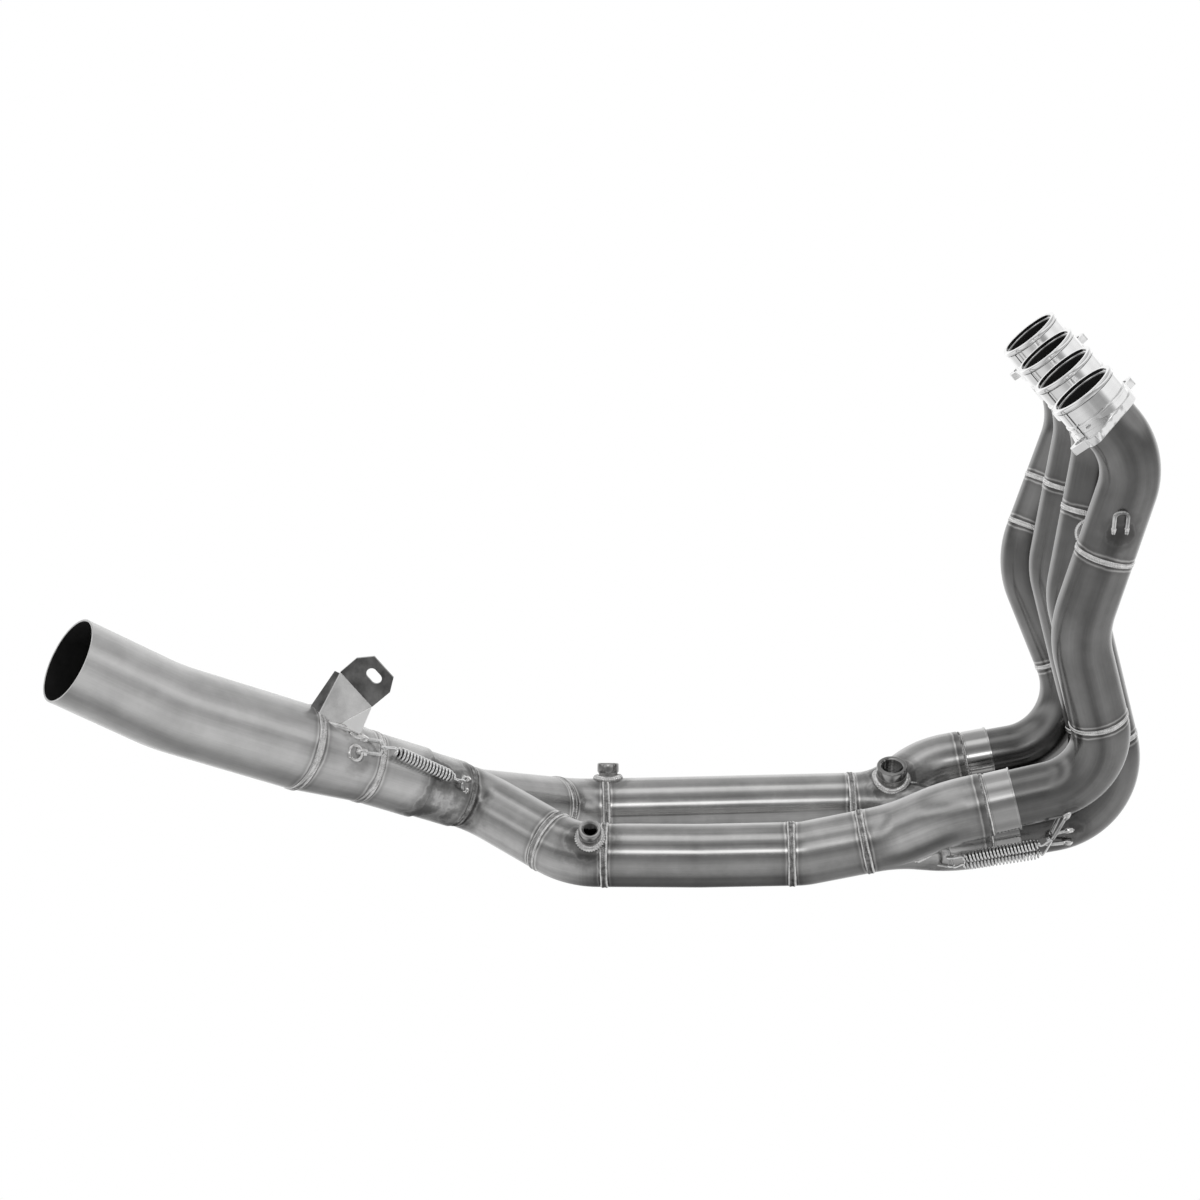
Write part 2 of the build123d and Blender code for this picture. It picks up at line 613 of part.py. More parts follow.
link_ends = [
    tuple(on_link(distance, angle, outlet_r + LINK_COIL_STAND).origin)
    for distance, angle in LINK_COIL_SPAN
]
link_hooks = (tuple(outlet_seat.from_local_coords(Vector(0, 1, LINK_LOOP_RISE))),
              tuple(link_seat.from_local_coords(Vector(0, -1, LINK_LOOP_RISE + 1))))
link_away = outlet_seat.z_dir
body = spring(link_ends, link_hooks, LINK_COIL_OD, SPRING_WIRE, link_away)
write("link_spring", (body - loops["link_loop"] - loops["outlet_loop"]).solids().sort_by(SortBy.VOLUME)[-1])

# Bracket: a slotted ear, and below its fold a web down to the cone with a gusset on either side
FOLD_START = Vector(-521.7, -72, -221.5)
FOLD_END = Vector(-498.8, -72, -247.9)
WEB_TILT = 25.0
EAR_OUTLINE = ((0, 0), (0, 16), (7.5, 26.8), (28.5, 26.8), (35, 17.5), (34.8, 0))
WEB_OUTLINE = ((0, 0.5), (13.5, -42), (24.5, -34), (34.8, 0.5))
SLOT_AT = (18.3, 16.8)
LEFT_GUSSET = ((-0.5, -3, -0.5), (10, -34, -0.5), (5, -37, -12))
RIGHT_GUSSET = ((34.8, 0, -0.5), (26.5, -25, -0.5), (40, -24, -10))
fold_way = (FOLD_END - FOLD_START).normalized()
fold_plane = Plane(origin=FOLD_START, x_dir=fold_way, z_dir=Vector(0, -1, 0))


def sheet(corners):
    """A flat piece of the bracket's sheet through three or more corners."""
    face = make_face(Polyline(*corners, close=True)).face()
    return extrude(face, BRACKET_SHEET, dir=-face.normal_at())


ear = extrude(make_face(Polyline(*EAR_OUTLINE, close=True)), -BRACKET_SHEET)
slot = extrude(SlotOverall(BRACKET_SLOT_LENGTH, BRACKET_SLOT_WIDTH), BRACKET_SHEET)
ear -= Pos(*SLOT_AT, -BRACKET_SHEET) * slot
web = Rot(WEB_TILT, 0, 0) * extrude(make_face(Polyline(*WEB_OUTLINE, close=True)), -BRACKET_SHEET)
gussets = Rot(WEB_TILT, 0, 0) * (sheet(LEFT_GUSSET) + sheet(RIGHT_GUSSET))
web_body = fold_plane * (web + gussets - ear) - cone_solid
write("bracket_ear", fold_plane * ear)
write("bracket_web", web_body.solids().sort_by(SortBy.VOLUME)[-1])
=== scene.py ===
import json
import logging
from dataclasses import dataclass, fields
from enum import Enum
from functools import cached_property
from itertools import accumulate
from typing import Optional, Sequence, Union

import bmesh
import bpy
import numpy as np
from mathutils import Matrix


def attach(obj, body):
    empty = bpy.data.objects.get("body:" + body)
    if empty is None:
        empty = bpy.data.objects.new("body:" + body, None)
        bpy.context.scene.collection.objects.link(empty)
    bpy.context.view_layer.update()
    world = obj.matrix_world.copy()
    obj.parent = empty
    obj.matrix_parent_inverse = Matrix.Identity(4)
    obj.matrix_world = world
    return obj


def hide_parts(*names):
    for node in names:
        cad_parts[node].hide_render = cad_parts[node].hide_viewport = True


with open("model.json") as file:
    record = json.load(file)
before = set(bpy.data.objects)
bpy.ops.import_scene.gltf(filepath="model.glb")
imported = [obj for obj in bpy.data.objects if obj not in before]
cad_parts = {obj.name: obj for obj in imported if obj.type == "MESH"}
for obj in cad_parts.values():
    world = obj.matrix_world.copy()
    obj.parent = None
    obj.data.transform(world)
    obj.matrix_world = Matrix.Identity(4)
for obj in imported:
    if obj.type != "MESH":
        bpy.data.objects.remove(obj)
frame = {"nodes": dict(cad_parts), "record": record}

Array = np.ndarray
Triple = tuple[float, float, float]
Stops = Outline = tuple[tuple[float, float], ...]
Bends = tuple[tuple[Triple, ...], tuple[float, ...]]
Knob = Union[bpy.types.NodeSocket, float, tuple[float, ...]]
log = logging.getLogger("header")
MM = 0.001
ROUND = 2 * np.pi
FAR_OFF = 40.0
SHARP = np.radians(30)


class Slot(Enum):
    """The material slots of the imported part."""

    TUBE = "tube"
    MACHINED = "machined"
    FITTING = "fitting"
    WELD = "weld"
    SPRING = "spring"


NODE_FINISH = {Slot.TUBE: "tube", Slot.MACHINED: "plate", Slot.FITTING: "fitting", Slot.WELD: "weld",
               Slot.SPRING: "spring"}


class Grain(Enum):
    """Where a finish takes its pattern from."""

    SURFACE = "UV"
    BLOCK = "Object"


def unit(vector: Array) -> Array:
    """The vector, or each row of an array of vectors, divided by its length."""
    vector = np.asarray(vector, dtype=float)
    return vector / np.linalg.norm(vector, axis=-1, keepdims=True)


def turned_about(vector: Array, axis: Array, angle: Array) -> Array:
    """Turns a vector about a unit axis through each of several angles.

    The part along the axis stays, and the rest becomes itself times the cosine plus
    the axis crossed with it times the sine.

    Args:
        vector: The vector to turn.
        axis: The unit axis.
        angle: Angles in radians.

    Returns:
        One turned vector for each angle.
    """
    cosine = np.cos(angle)[:, None]
    sine = np.sin(angle)[:, None]
    return vector * cosine + np.cross(axis, vector) * sine + axis * np.dot(axis, vector) * (1 - cosine)


@dataclass(frozen=True)
class Stations:
    """Points along a centre line and the frame carried through them.

    Attributes:
        distance: Distance of each point from the line's start, in metres.
        point: The points.
        heading: Unit direction of travel at each point.
        side: Unit direction across, carried along without twist.
    """

    distance: Array
    point: Array
    heading: Array
    side: Array

    @property
    def lift(self) -> Array:
        """Unit direction square to both heading and side."""
        return np.cross(self.heading, self.side)


class Centreline:
    """Straight runs through corner points, each corner rounded to its own radius."""

    def __init__(self, corners: Sequence[Triple], radii: Sequence[float] = ()) -> None:
        """Lays out the runs and the bends.

        Args:
            corners: Corner points in mm.
            radii: Bend radius at each inner corner, in mm.
        """
        points = np.array(corners, dtype=float) * MM
        ways = unit(np.diff(points, axis=0))
        here, travelled = points[0], 0.0
        side = unit(np.cross(ways[0], (0, 0, 1) if abs(ways[0][2]) < 0.9 else (1, 0, 0)))
        self.runs: list[tuple] = []
        self.bend_ends: list[tuple[float, float]] = []
        for corner, inward, outward, radius in zip(points[1:-1], ways, ways[1:], radii):
            turn = float(np.arccos(np.clip(np.dot(inward, outward), -1, 1)))
            normal = unit(np.cross(inward, outward))
            reach = radius * MM * np.tan(turn / 2)
            bend_start = corner - inward * reach
            straight = float(np.linalg.norm(bend_start - here))
            self.runs.append((travelled, straight, here, inward, side, None, 0.0))
            travelled += straight
            self.runs.append((travelled, radius * MM * turn, bend_start, inward, side, normal, radius * MM))
            self.bend_ends.append((travelled, travelled + radius * MM * turn))
            travelled += radius * MM * turn
            side = turned_about(side, normal, np.array([turn]))[0]
            here = corner + outward * reach
        last = float(np.linalg.norm(points[-1] - here))
        self.runs.append((travelled, last, here, ways[-1], side, None, 0.0))
        self.length = travelled + last

    def stations(self, distance: Array) -> Stations:
        """Finds points and frames at distances along the line.

        On a straight run the point is the start plus the heading times the distance. On a bend
        the arm from the bend's centre, the heading and the side all turn about the bend's normal.

        Args:
            distance: Distances from the start, in metres.

        Returns:
            The stations.
        """
        distance = np.atleast_1d(np.asarray(distance, dtype=float))
        starts = np.array([run[0] for run in self.runs])
        owner = np.clip(np.searchsorted(starts, distance, side="right") - 1, 0, len(self.runs) - 1)
        point, heading, side = (np.zeros((len(distance), 3)) for _ in range(3))
        for index, (start, _, origin, way, across, normal, radius) in enumerate(self.runs):
            mine = owner == index
            along = distance[mine] - start
            if normal is None:
                point[mine] = origin + way * along[:, None]
                heading[mine] = way
                side[mine] = across
            else:
                centre = origin + np.cross(normal, way) * radius
                point[mine] = centre + turned_about(origin - centre, normal, along / radius)
                heading[mine] = turned_about(way, normal, along / radius)
                side[mine] = turned_about(across, normal, along / radius)
        return Stations(distance, point, heading, side)

    def before(self, bend: int) -> float:
        """Distance at which a bend starts."""
        return self.bend_ends[bend][0]

    def after(self, bend: int) -> float:
        """Distance at which a bend ends."""
        return self.bend_ends[bend][1]


def ring_grid(stations: Stations, radius: Array, angle: Array) -> Array:
    """Carries a circle along stations.

    Each point is its station plus the radius times side times the cosine and lift times the sine.

    Args:
        stations: The line.
        radius: One radius per station, or a grid of station by angle.
        angle: Angles round the line.

    Returns:
        Points as a grid of station by angle.
    """
    shape = (len(stations.point), len(angle))
    spread = np.broadcast_to(radius if radius.ndim == 2 else radius[:, None], shape)
    around = (stations.side[:, None] * np.cos(angle)[None, :, None]
              + stations.lift[:, None] * np.sin(angle)[None, :, None])
    return stations.point[:, None] + around * spread[..., None]


def grid_mesh(name: str, points: Array, along: Array, across: Array, closed: bool,
              shade: Optional[Array] = None) -> bpy.types.Mesh:
    """Makes a mesh from a grid that is closed round its columns, and round its rows too where asked.

    Args:
        name: Mesh name.
        points: Grid of points, row by column.
        along: Map coordinate of each row in metres, with one more at the end where rows close.
        across: Map coordinate of each column in metres, with one more at the end.
        closed: Whether the last row joins the first.
        shade: Material index of each row of faces.

    Returns:
        The mesh.
    """
    rows, columns = points.shape[:2]
    spans = rows if closed else rows - 1
    row = np.arange(spans)[:, None]
    column = np.arange(columns)[None, :]
    corners = [(row, column), (row, column + 1), (row + 1, column + 1), (row + 1, column)]
    faces = np.stack([((r % rows) * columns + (c % columns)) for r, c in corners], axis=-1).reshape(-1, 4)
    chart = np.stack([np.stack(np.broadcast_arrays(along[r], across[c]), axis=-1)
                      for r, c in corners], axis=2)
    mesh = bpy.data.meshes.new(name)
    mesh.vertices.add(rows * columns)
    mesh.vertices.foreach_set("co", points.reshape(-1))
    mesh.loops.add(faces.size)
    mesh.loops.foreach_set("vertex_index", faces.reshape(-1).astype(np.int32))
    mesh.polygons.add(len(faces))
    mesh.polygons.foreach_set("loop_start", np.arange(0, faces.size, 4, dtype=np.int32))
    mesh.uv_layers.new(name="Surface").uv.foreach_set("vector", chart.reshape(-1))
    if shade is not None:
        mesh.polygons.foreach_set("material_index", np.repeat(shade, columns).astype(np.int32))
    mesh.update(calc_edges=True)
    mesh.validate()
    return mesh


def mend(mesh: bpy.types.Mesh, merge: bool = True, outward: bool = False) -> None:
    """Reworks a mesh in place.

    Args:
        mesh: The mesh.
        merge: Whether points that coincide become one.
        outward: Whether its faces are turned to point outwards.
    """
    work = bmesh.new()
    work.from_mesh(mesh)
    if merge:
        bmesh.ops.remove_doubles(work, verts=work.verts, dist=1e-7)
    if outward:
        bmesh.ops.recalc_face_normals(work, faces=work.faces)
    work.to_mesh(mesh)
    work.free()


def joined_mesh(name: str, meshes: Sequence[bpy.types.Mesh]) -> bpy.types.Mesh:
    """Several meshes as one, their charts and face indices kept."""
    work = bmesh.new()
    for mesh in meshes:
        work.from_mesh(mesh)
        bpy.data.meshes.remove(mesh)
    whole = bpy.data.meshes.new(name)
    work.to_mesh(whole)
    work.free()
    whole.shade_smooth()
    return whole


def points_of(mesh: bpy.types.Mesh) -> Array:
    """A mesh's points, one a row, in metres."""
    points = np.empty(len(mesh.vertices) * 3)
    mesh.vertices.foreach_get("co", points)
    return points.reshape(-1, 3)


@dataclass(frozen=True)
class Weld:
    """A ring of weld round a tube.

    Attributes:
        centre: Middle of the ring in metres.
        axis: Unit axis of the tube there.
        radius: Outside radius of the tube in metres.
    """

    centre: Array
    axis: Array
    radius: float


def mark_heat(mesh: bpy.types.Mesh, welds: Sequence[Weld], spots: Sequence[tuple[Triple, float]]) -> None:
    """Writes how far each point is from weld rings and from spots of stain and painted shadow, in mm.

    On a ring's own tube heat_distance is taken along the tube's axis. Near a spot stain_distance
    is the distance from the spot less its radius. Elsewhere each is FAR_OFF.

    Args:
        mesh: The mesh to mark.
        welds: All weld rings.
        spots: Middle and radius of each dark mark, in mm: painted shadow round the feet of the wire loops,
            and stains round the bosses and on the outlet stub.
    """
    points = points_of(mesh)
    nearest = np.full(len(points), FAR_OFF)
    for weld in welds:
        offset = points - weld.centre
        along = offset @ weld.axis
        away = np.linalg.norm(offset - along[:, None] * weld.axis, axis=1)
        reach = np.where(np.abs(away - weld.radius) < 6 * MM, np.abs(along) / MM, FAR_OFF)
        nearest = np.minimum(nearest, reach)
    # Painted shadow round the loops' feet, and stains, by distance from each spot.
    stain_and_shadow = np.full(len(points), FAR_OFF)
    for centre, size in spots:
        away = np.linalg.norm(points / MM - centre, axis=1) - size
        stain_and_shadow = np.minimum(stain_and_shadow, np.maximum(away, 0))
    mesh.attributes.new("heat_distance", "FLOAT", "POINT").data.foreach_set("value", nearest)
    mesh.attributes.new("stain_distance", "FLOAT", "POINT").data.foreach_set("value", stain_and_shadow)


class Bench:
    """Puts finished meshes into the scene, and holds what every sub-assembly is built with."""

    def __init__(self, layout: "Layout", steel: dict[str, bpy.types.Material],
                 spots: Sequence[tuple[Triple, float]]) -> None:
        """Keeps the centre lines and finishes, and works out the rings of weld.

        Args:
            layout: Centre lines.
            steel: Material of each finish by its name.
            spots: Middle and radius of each dark mark, in mm: painted shadow round the feet of the wire
                loops, and stains.
        """
        self.layout = layout
        self.steel = steel
        self.rings = layout.welds()
        self.welds = [weld for group in self.rings.values() for weld in group]
        self.spots = spots
        self.made: list[str] = []

    def place(self, name: str, mesh: bpy.types.Mesh, slot: Slot, finishes: Sequence[str],
              nodes: Sequence[str] = ()) -> bpy.types.Object:
        """Makes an object of a mesh and ties it to the part.

        Args:
            name: Object name.
            mesh: The finished mesh, in place.
            slot: Material slot of the part; not used.
            finishes: Names of finishes in the order of the faces' indices.
            nodes: Nodes of the part that it stands for.

        Returns:
            The object.
        """
        for finish in finishes:
            mesh.materials.append(self.steel[finish])
        mark_heat(mesh, self.welds, self.spots)
        piece = bpy.data.objects.new(name, mesh)
        bpy.context.scene.collection.objects.link(piece)
        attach(piece, "root")
        if nodes:
            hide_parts(*nodes)
        self.made.append(name)
        log.info("%s: %d faces for %s", name, len(mesh.polygons), ", ".join(nodes) or "no node")
        return piece

    def dress_nodes(self) -> None:
        """Gives every node of the part the finish of its slot, but the bracket's nodes the ear finish, dark
        with painted shade, as some are shown as themselves.
        """
        slots = {part["node"]: part["material_slot"] for part in frame["record"]["subparts"]}
        for name, node in frame["nodes"].items():
            # The bracket's nodes take the ear finish, dark with painted shade.
            finish = "ear" if name.startswith("bracket") else NODE_FINISH[Slot(slots[name])]
            node.data.materials.clear()
            node.data.materials.append(self.steel[finish])


def soften_edges(piece: bpy.types.Object, width: float, limit: float = 30.0) -> None:
    """Rounds a piece's edges.

    Args:
        piece: The piece.
        width: Width of the rounding in mm.
        limit: Angle in degrees under which an edge is left alone.
    """
    bevel = piece.modifiers.new("edge", "BEVEL")
    bevel.width = width * MM
    bevel.segments = 2
    bevel.angle_limit = np.radians(limit)
    bevel.harden_normals = True


def merged_mesh(node: str, longest: float = 7.0, rounds: int = 6) -> bpy.types.Mesh:
    """A copy of a node's mesh with doubled points merged, long edges cut and sharp edges marked.

    Args:
        node: Node of the part.
        longest: Length in mm above which an edge is halved.
        rounds: Times that long edges are halved.

    Returns:
        The mesh, of triangles, with its edges over 30 degrees marked sharp.
    """
    mesh = frame["nodes"][node].data.copy()
    mesh.name = node + "_merged"
    mesh.materials.clear()
    work = bmesh.new()
    work.from_mesh(mesh)
    bmesh.ops.remove_doubles(work, verts=work.verts, dist=2e-6)
    for _ in range(rounds):
        slack = [edge for edge in work.edges if edge.calc_length() > longest * MM]
        bmesh.ops.subdivide_edges(work, edges=slack, cuts=1)
        bmesh.ops.triangulate(work, faces=work.faces)
    work.to_mesh(mesh)
    work.free()
    for layer in list(mesh.uv_layers):
        mesh.uv_layers.remove(layer)
    mesh.shade_smooth()
    mesh.set_sharp_from_angle(angle=SHARP)
    return mesh


def wrap_chart(mesh: bpy.types.Mesh, lines: Sequence[Centreline], radius: float, inside: float) -> None:
    """Maps a tube-like mesh by distance along its nearest centre line, and rounds its shading.

    The first coordinate is the station's distance plus the point's offset along the heading. The
    second is the angle from the carried side direction times the radius, kept whole over each face.
    Each corner is shaded by the way out from the line, where the face leans less than 25 degrees
    from it.

    Args:
        mesh: A mesh of triangles.
        lines: Centre lines of its tubes.
        radius: Radius for the arc length, in metres.
        inside: Faces nearer to the line than this get material index 1.
    """
    count = len(mesh.polygons)
    step = 2 * MM
    corner = np.empty(len(mesh.loops), dtype=np.int32)
    mesh.loops.foreach_get("vertex_index", corner)
    corners = points_of(mesh)[corner].reshape(count, 3, 3)
    middle = corners.mean(axis=1)
    chart = np.zeros((count, 3, 2))
    best = np.full(count, np.inf)
    depth = np.zeros(count)
    outward = np.zeros((count, 3, 3))
    for line in lines:
        stations = line.stations(np.arange(0, line.length + step, step))
        gaps = np.linalg.norm(middle[:, None] - stations.point[None], axis=2)
        nearest = gaps.argmin(axis=1)
        gap = gaps[np.arange(count), nearest]
        mine = gap < best
        best = np.where(mine, gap, best)
        offset = corners - stations.point[nearest][:, None]
        ahead, over, up = (np.einsum("ijk,ik->ij", offset, way[nearest])
                           for way in (stations.heading, stations.side, stations.lift))
        along = stations.distance[nearest][:, None] + ahead
        angle = np.arctan2(up, over)
        angle -= np.round((angle - angle[:, :1]) / ROUND) * ROUND
        chart[mine] = np.stack([along, angle * radius], axis=-1)[mine]
        depth = np.where(mine, np.hypot(over, up).mean(axis=1), depth)
        closest = np.linalg.norm(corners[:, :, None] - stations.point[None, None], axis=3).argmin(axis=2)
        arm = corners - stations.point[closest]
        arm -= stations.heading[closest] * np.sum(arm * stations.heading[closest], axis=2, keepdims=True)
        outward[mine] = unit(arm)[mine]
    mesh.uv_layers.new(name="Surface").uv.foreach_set("vector", chart.reshape(-1))
    mesh.polygons.foreach_set("material_index", (depth < inside).astype(np.int32))
    flat = unit(np.cross(corners[:, 1] - corners[:, 0], corners[:, 2] - corners[:, 0]))
    lean = np.einsum("ijk,ik->ij", outward, flat)
    round_face = np.abs(lean).min(axis=1) > np.cos(np.radians(25))
    shading = outward * np.sign(lean)[:, :, None] * round_face[:, None, None]
    mesh.normals_split_custom_set(shading.reshape(-1, 3).tolist())


class Graph:
    """A material's node tree, with short ways to add and link nodes."""

    def __init__(self, tree: bpy.types.NodeTree) -> None:
        """Starts from an emptied tree."""
        self.tree = tree
        tree.nodes.clear()

    def add(self, kind: str, inputs: Optional[dict] = None, **settings) -> bpy.types.Node:
        """Adds a node, sets its properties, and sets or links its inputs.

        Args:
            kind: Node type.
            inputs: Value or output socket for each input name or number.
            settings: Node properties.

        Returns:
            The node.
        """
        node = self.tree.nodes.new(kind)
        for key, value in settings.items():
            setattr(node, key, value)
        for key, value in (inputs or {}).items():
            if isinstance(value, bpy.types.NodeSocket):
                self.tree.links.new(value, node.inputs[key])
            else:
                node.inputs[key].default_value = value
        return node

    def math(self, operation: str, *values: Knob) -> bpy.types.NodeSocket:
        """The result of a sum on numbers or sockets."""
        return self.add("ShaderNodeMath", dict(enumerate(values)), operation=operation).outputs[0]

    def shifted(self, value: Knob, middle: float, scale: float) -> bpy.types.NodeSocket:
        """A value less its middle, times a scale."""
        return self.math("MULTIPLY", self.math("SUBTRACT", value, middle), scale)

    def blend(self, *parts: tuple[Knob, float]) -> bpy.types.NodeSocket:
        """The sum of values, each times its weight."""
        total, *others = (self.math("MULTIPLY", value, weight) for value, weight in parts)
        for part in others:
            total = self.math("ADD", total, part)
        return total

    def fact(self, name: str) -> bpy.types.NodeSocket:
        """A mesh's attribute as a number."""
        return self.add("ShaderNodeAttribute", attribute_name=name).outputs["Fac"]

    def ramp(self, value: bpy.types.NodeSocket, stops: Stops) -> bpy.types.NodeSocket:
        """A grey that follows the value through stops of (place, grey).

        Args:
            value: What it follows, from 0 to 1.
            stops: Place and grey of each stop, in order.

        Returns:
            The grey.
        """
        node = self.add("ShaderNodeValToRGB", {0: value})
        stop_list = node.color_ramp.elements
        while len(stop_list) < len(stops):
            stop_list.new(0.5)
        for stop, (place, grey) in zip(stop_list, stops):
            stop.position = place
            stop.color = (grey, grey, grey, 1)
        return node.outputs[0]

    def noise(self, place: bpy.types.NodeSocket, stretch: Triple, detail: float,
              rough: float) -> bpy.types.NodeSocket:
        """Noise around 0.5 on coordinates stretched by three scales per metre."""
        mapping = self.add("ShaderNodeMapping", {"Vector": place, "Scale": stretch})
        return self.add("ShaderNodeTexNoise", {"Vector": mapping.outputs[0], "Scale": 1.0, "Detail": detail,
                                               "Roughness": rough}).outputs["Fac"]

    def grey_mix(self, amount: Knob, low: Knob, high: Knob) -> bpy.types.NodeSocket:
        """A colour between two colours or sockets by an amount.

        Args:
            amount: 0 for the low colour, 1 for the high one.
            low: The low colour.
            high: The high colour.

        Returns:
            The colour.
        """
        node = self.add("ShaderNodeMix", data_type="RGBA")
        for place, value in ((0, amount), (6, low), (7, high)):
            if isinstance(value, bpy.types.NodeSocket):
                self.tree.links.new(value, node.inputs[place])
            else:
                node.inputs[place].default_value = value
        return node.outputs[2]


# Attribute, wander in mm, scale, strength by scaled distance, and colour of each mark:
# the dark heat tint beside a ring of weld, the pale line in it, and the dark mark round a spot, which is
# painted shadow round the feet of the wire loops and stain elsewhere.
HEAT_MARKS = (
    ("heat_distance", 5.0, 0.04,
     ((0.0, 0.5), (0.13, 0.75), (0.17, 0.2), (0.24, 0.4), (0.34, 0.12), (0.75, 0.0)), (0.05, 0.049, 0.047)),
    ("heat_distance", 5.0, 0.04, ((0.13, 0.0), (0.175, 0.5), (0.22, 0.0)), (0.95, 0.94, 0.93)),
    ("stain_distance", 26.0, 0.05, ((0.0, 0.9), (0.12, 0.7), (0.2, 0.25), (0.27, 0.45), (0.6, 0.0)),
     (0.03, 0.029, 0.028)))


@dataclass(frozen=True)
class Steel:
    """A steel finish with grain, cloudy patches, marks of heat near welds, stains, and painted shade round
    loop feet and between coils.

    Attributes:
        name: Material name.
        pale: Colour of the paler patches.
        dark: Colour of the darker patches.
        roughness: Lowest and highest roughness.
        grain: Where the pattern comes from.
        lines: Scale of the brushing along and across, per metre.
        patches: Scale of the cloudy patches, per metre.
        relief: Depth of the grain as bump strength.
        heat: How far the marks darken the steel, 0 to 1: heat tint near welds, stains, and painted shadow
            round the feet of the wire loops.
        metal: How metallic it is.
        hollows: Whether it is painted with shade, near black where the attribute coil_height is low, between
            the coils.
    """

    name: str
    pale: Triple
    dark: Triple
    roughness: tuple[float, float]
    grain: Grain = Grain.SURFACE
    lines: tuple[float, float] = (3200.0, 160.0)
    patches: float = 34.0
    relief: float = 0.12
    heat: float = 0.0
    metal: float = 1.0
    hollows: bool = False

    def material(self) -> bpy.types.Material:
        """Builds the material.

        Returns:
            The material, whose colour and roughness follow stretched noise, cloudy noise and the
            distance from the nearest weld and spot, with painted shadow round loop feet and, where asked,
            painted shade between coils.
        """
        made = bpy.data.materials.new(self.name)
        made.use_nodes = True
        graph = Graph(made.node_tree)
        place = graph.add("ShaderNodeTexCoord").outputs[self.grain.value]
        solid = graph.add("ShaderNodeTexCoord").outputs["Object"]
        along, across = self.lines
        fine = graph.noise(place, (along, across, across), 3.0, 0.6)
        band = graph.noise(place, (along / 14, across / 5, across / 5), 4.0, 0.55)
        cloud = graph.noise(solid, (self.patches,) * 3, 6.0, 0.62)
        speck = graph.noise(solid, (self.patches * 22,) * 3, 2.0, 0.5)
        tone = graph.blend((cloud, 0.55), (band, 0.3), (fine, 0.15))
        tone = graph.ramp(tone, ((0.36, 0.0), (0.62, 1.0)))
        colour = graph.grey_mix(tone, (*self.dark, 1), (*self.pale, 1))
        if self.heat > 0:
            colour = self._marked(graph, colour, cloud)
        # Painted shade: the gaps between coils, where coil_height is low, go near black.
        if self.hollows:
            unshaded_crest = graph.ramp(graph.fact("coil_height"), ((0.66, 0.0), (0.93, 1.0)))
            colour = graph.grey_mix(unshaded_crest, (0.012, 0.012, 0.012, 1), colour)
        low, high = self.roughness
        uneven, height = graph.blend((cloud, 0.6), (fine, 0.4)), graph.blend((fine, 0.7), (speck, 0.3))
        rough = graph.add("ShaderNodeMapRange", {
            "Value": uneven, "From Min": 0.35, "From Max": 0.65, "To Min": low, "To Max": high})
        bump = graph.add("ShaderNodeBump", {
            "Strength": self.relief, "Distance": 0.12 * MM, "Height": height})
        shader = graph.add("ShaderNodeBsdfPrincipled", {
            "Base Color": colour, "Metallic": self.metal, "Roughness": rough.outputs[0],
            "Normal": bump.outputs[0]})
        graph.add("ShaderNodeOutputMaterial", {"Surface": shader.outputs[0]})
        return made

    def _marked(self, graph: Graph, colour: Knob, cloud: Knob) -> bpy.types.NodeSocket:
        """Lays the marks of heat and the stains, with painted shadow round loop feet, over a colour, each at
        the distance that noise lets wander.

        Args:
            graph: The material's nodes.
            colour: Colour of the steel.
            cloud: The noise.

        Returns:
            The colour.
        """
        for fact, wander, scale, stops, shade in HEAT_MARKS:
            distance = graph.math("ADD", graph.fact(fact), graph.shifted(cloud, 0.5, wander))
            mark = graph.ramp(graph.math("MULTIPLY", distance, scale), stops)
            colour = graph.grey_mix(graph.math("MULTIPLY", mark, self.heat), colour, (*shade, 1))
        return colour


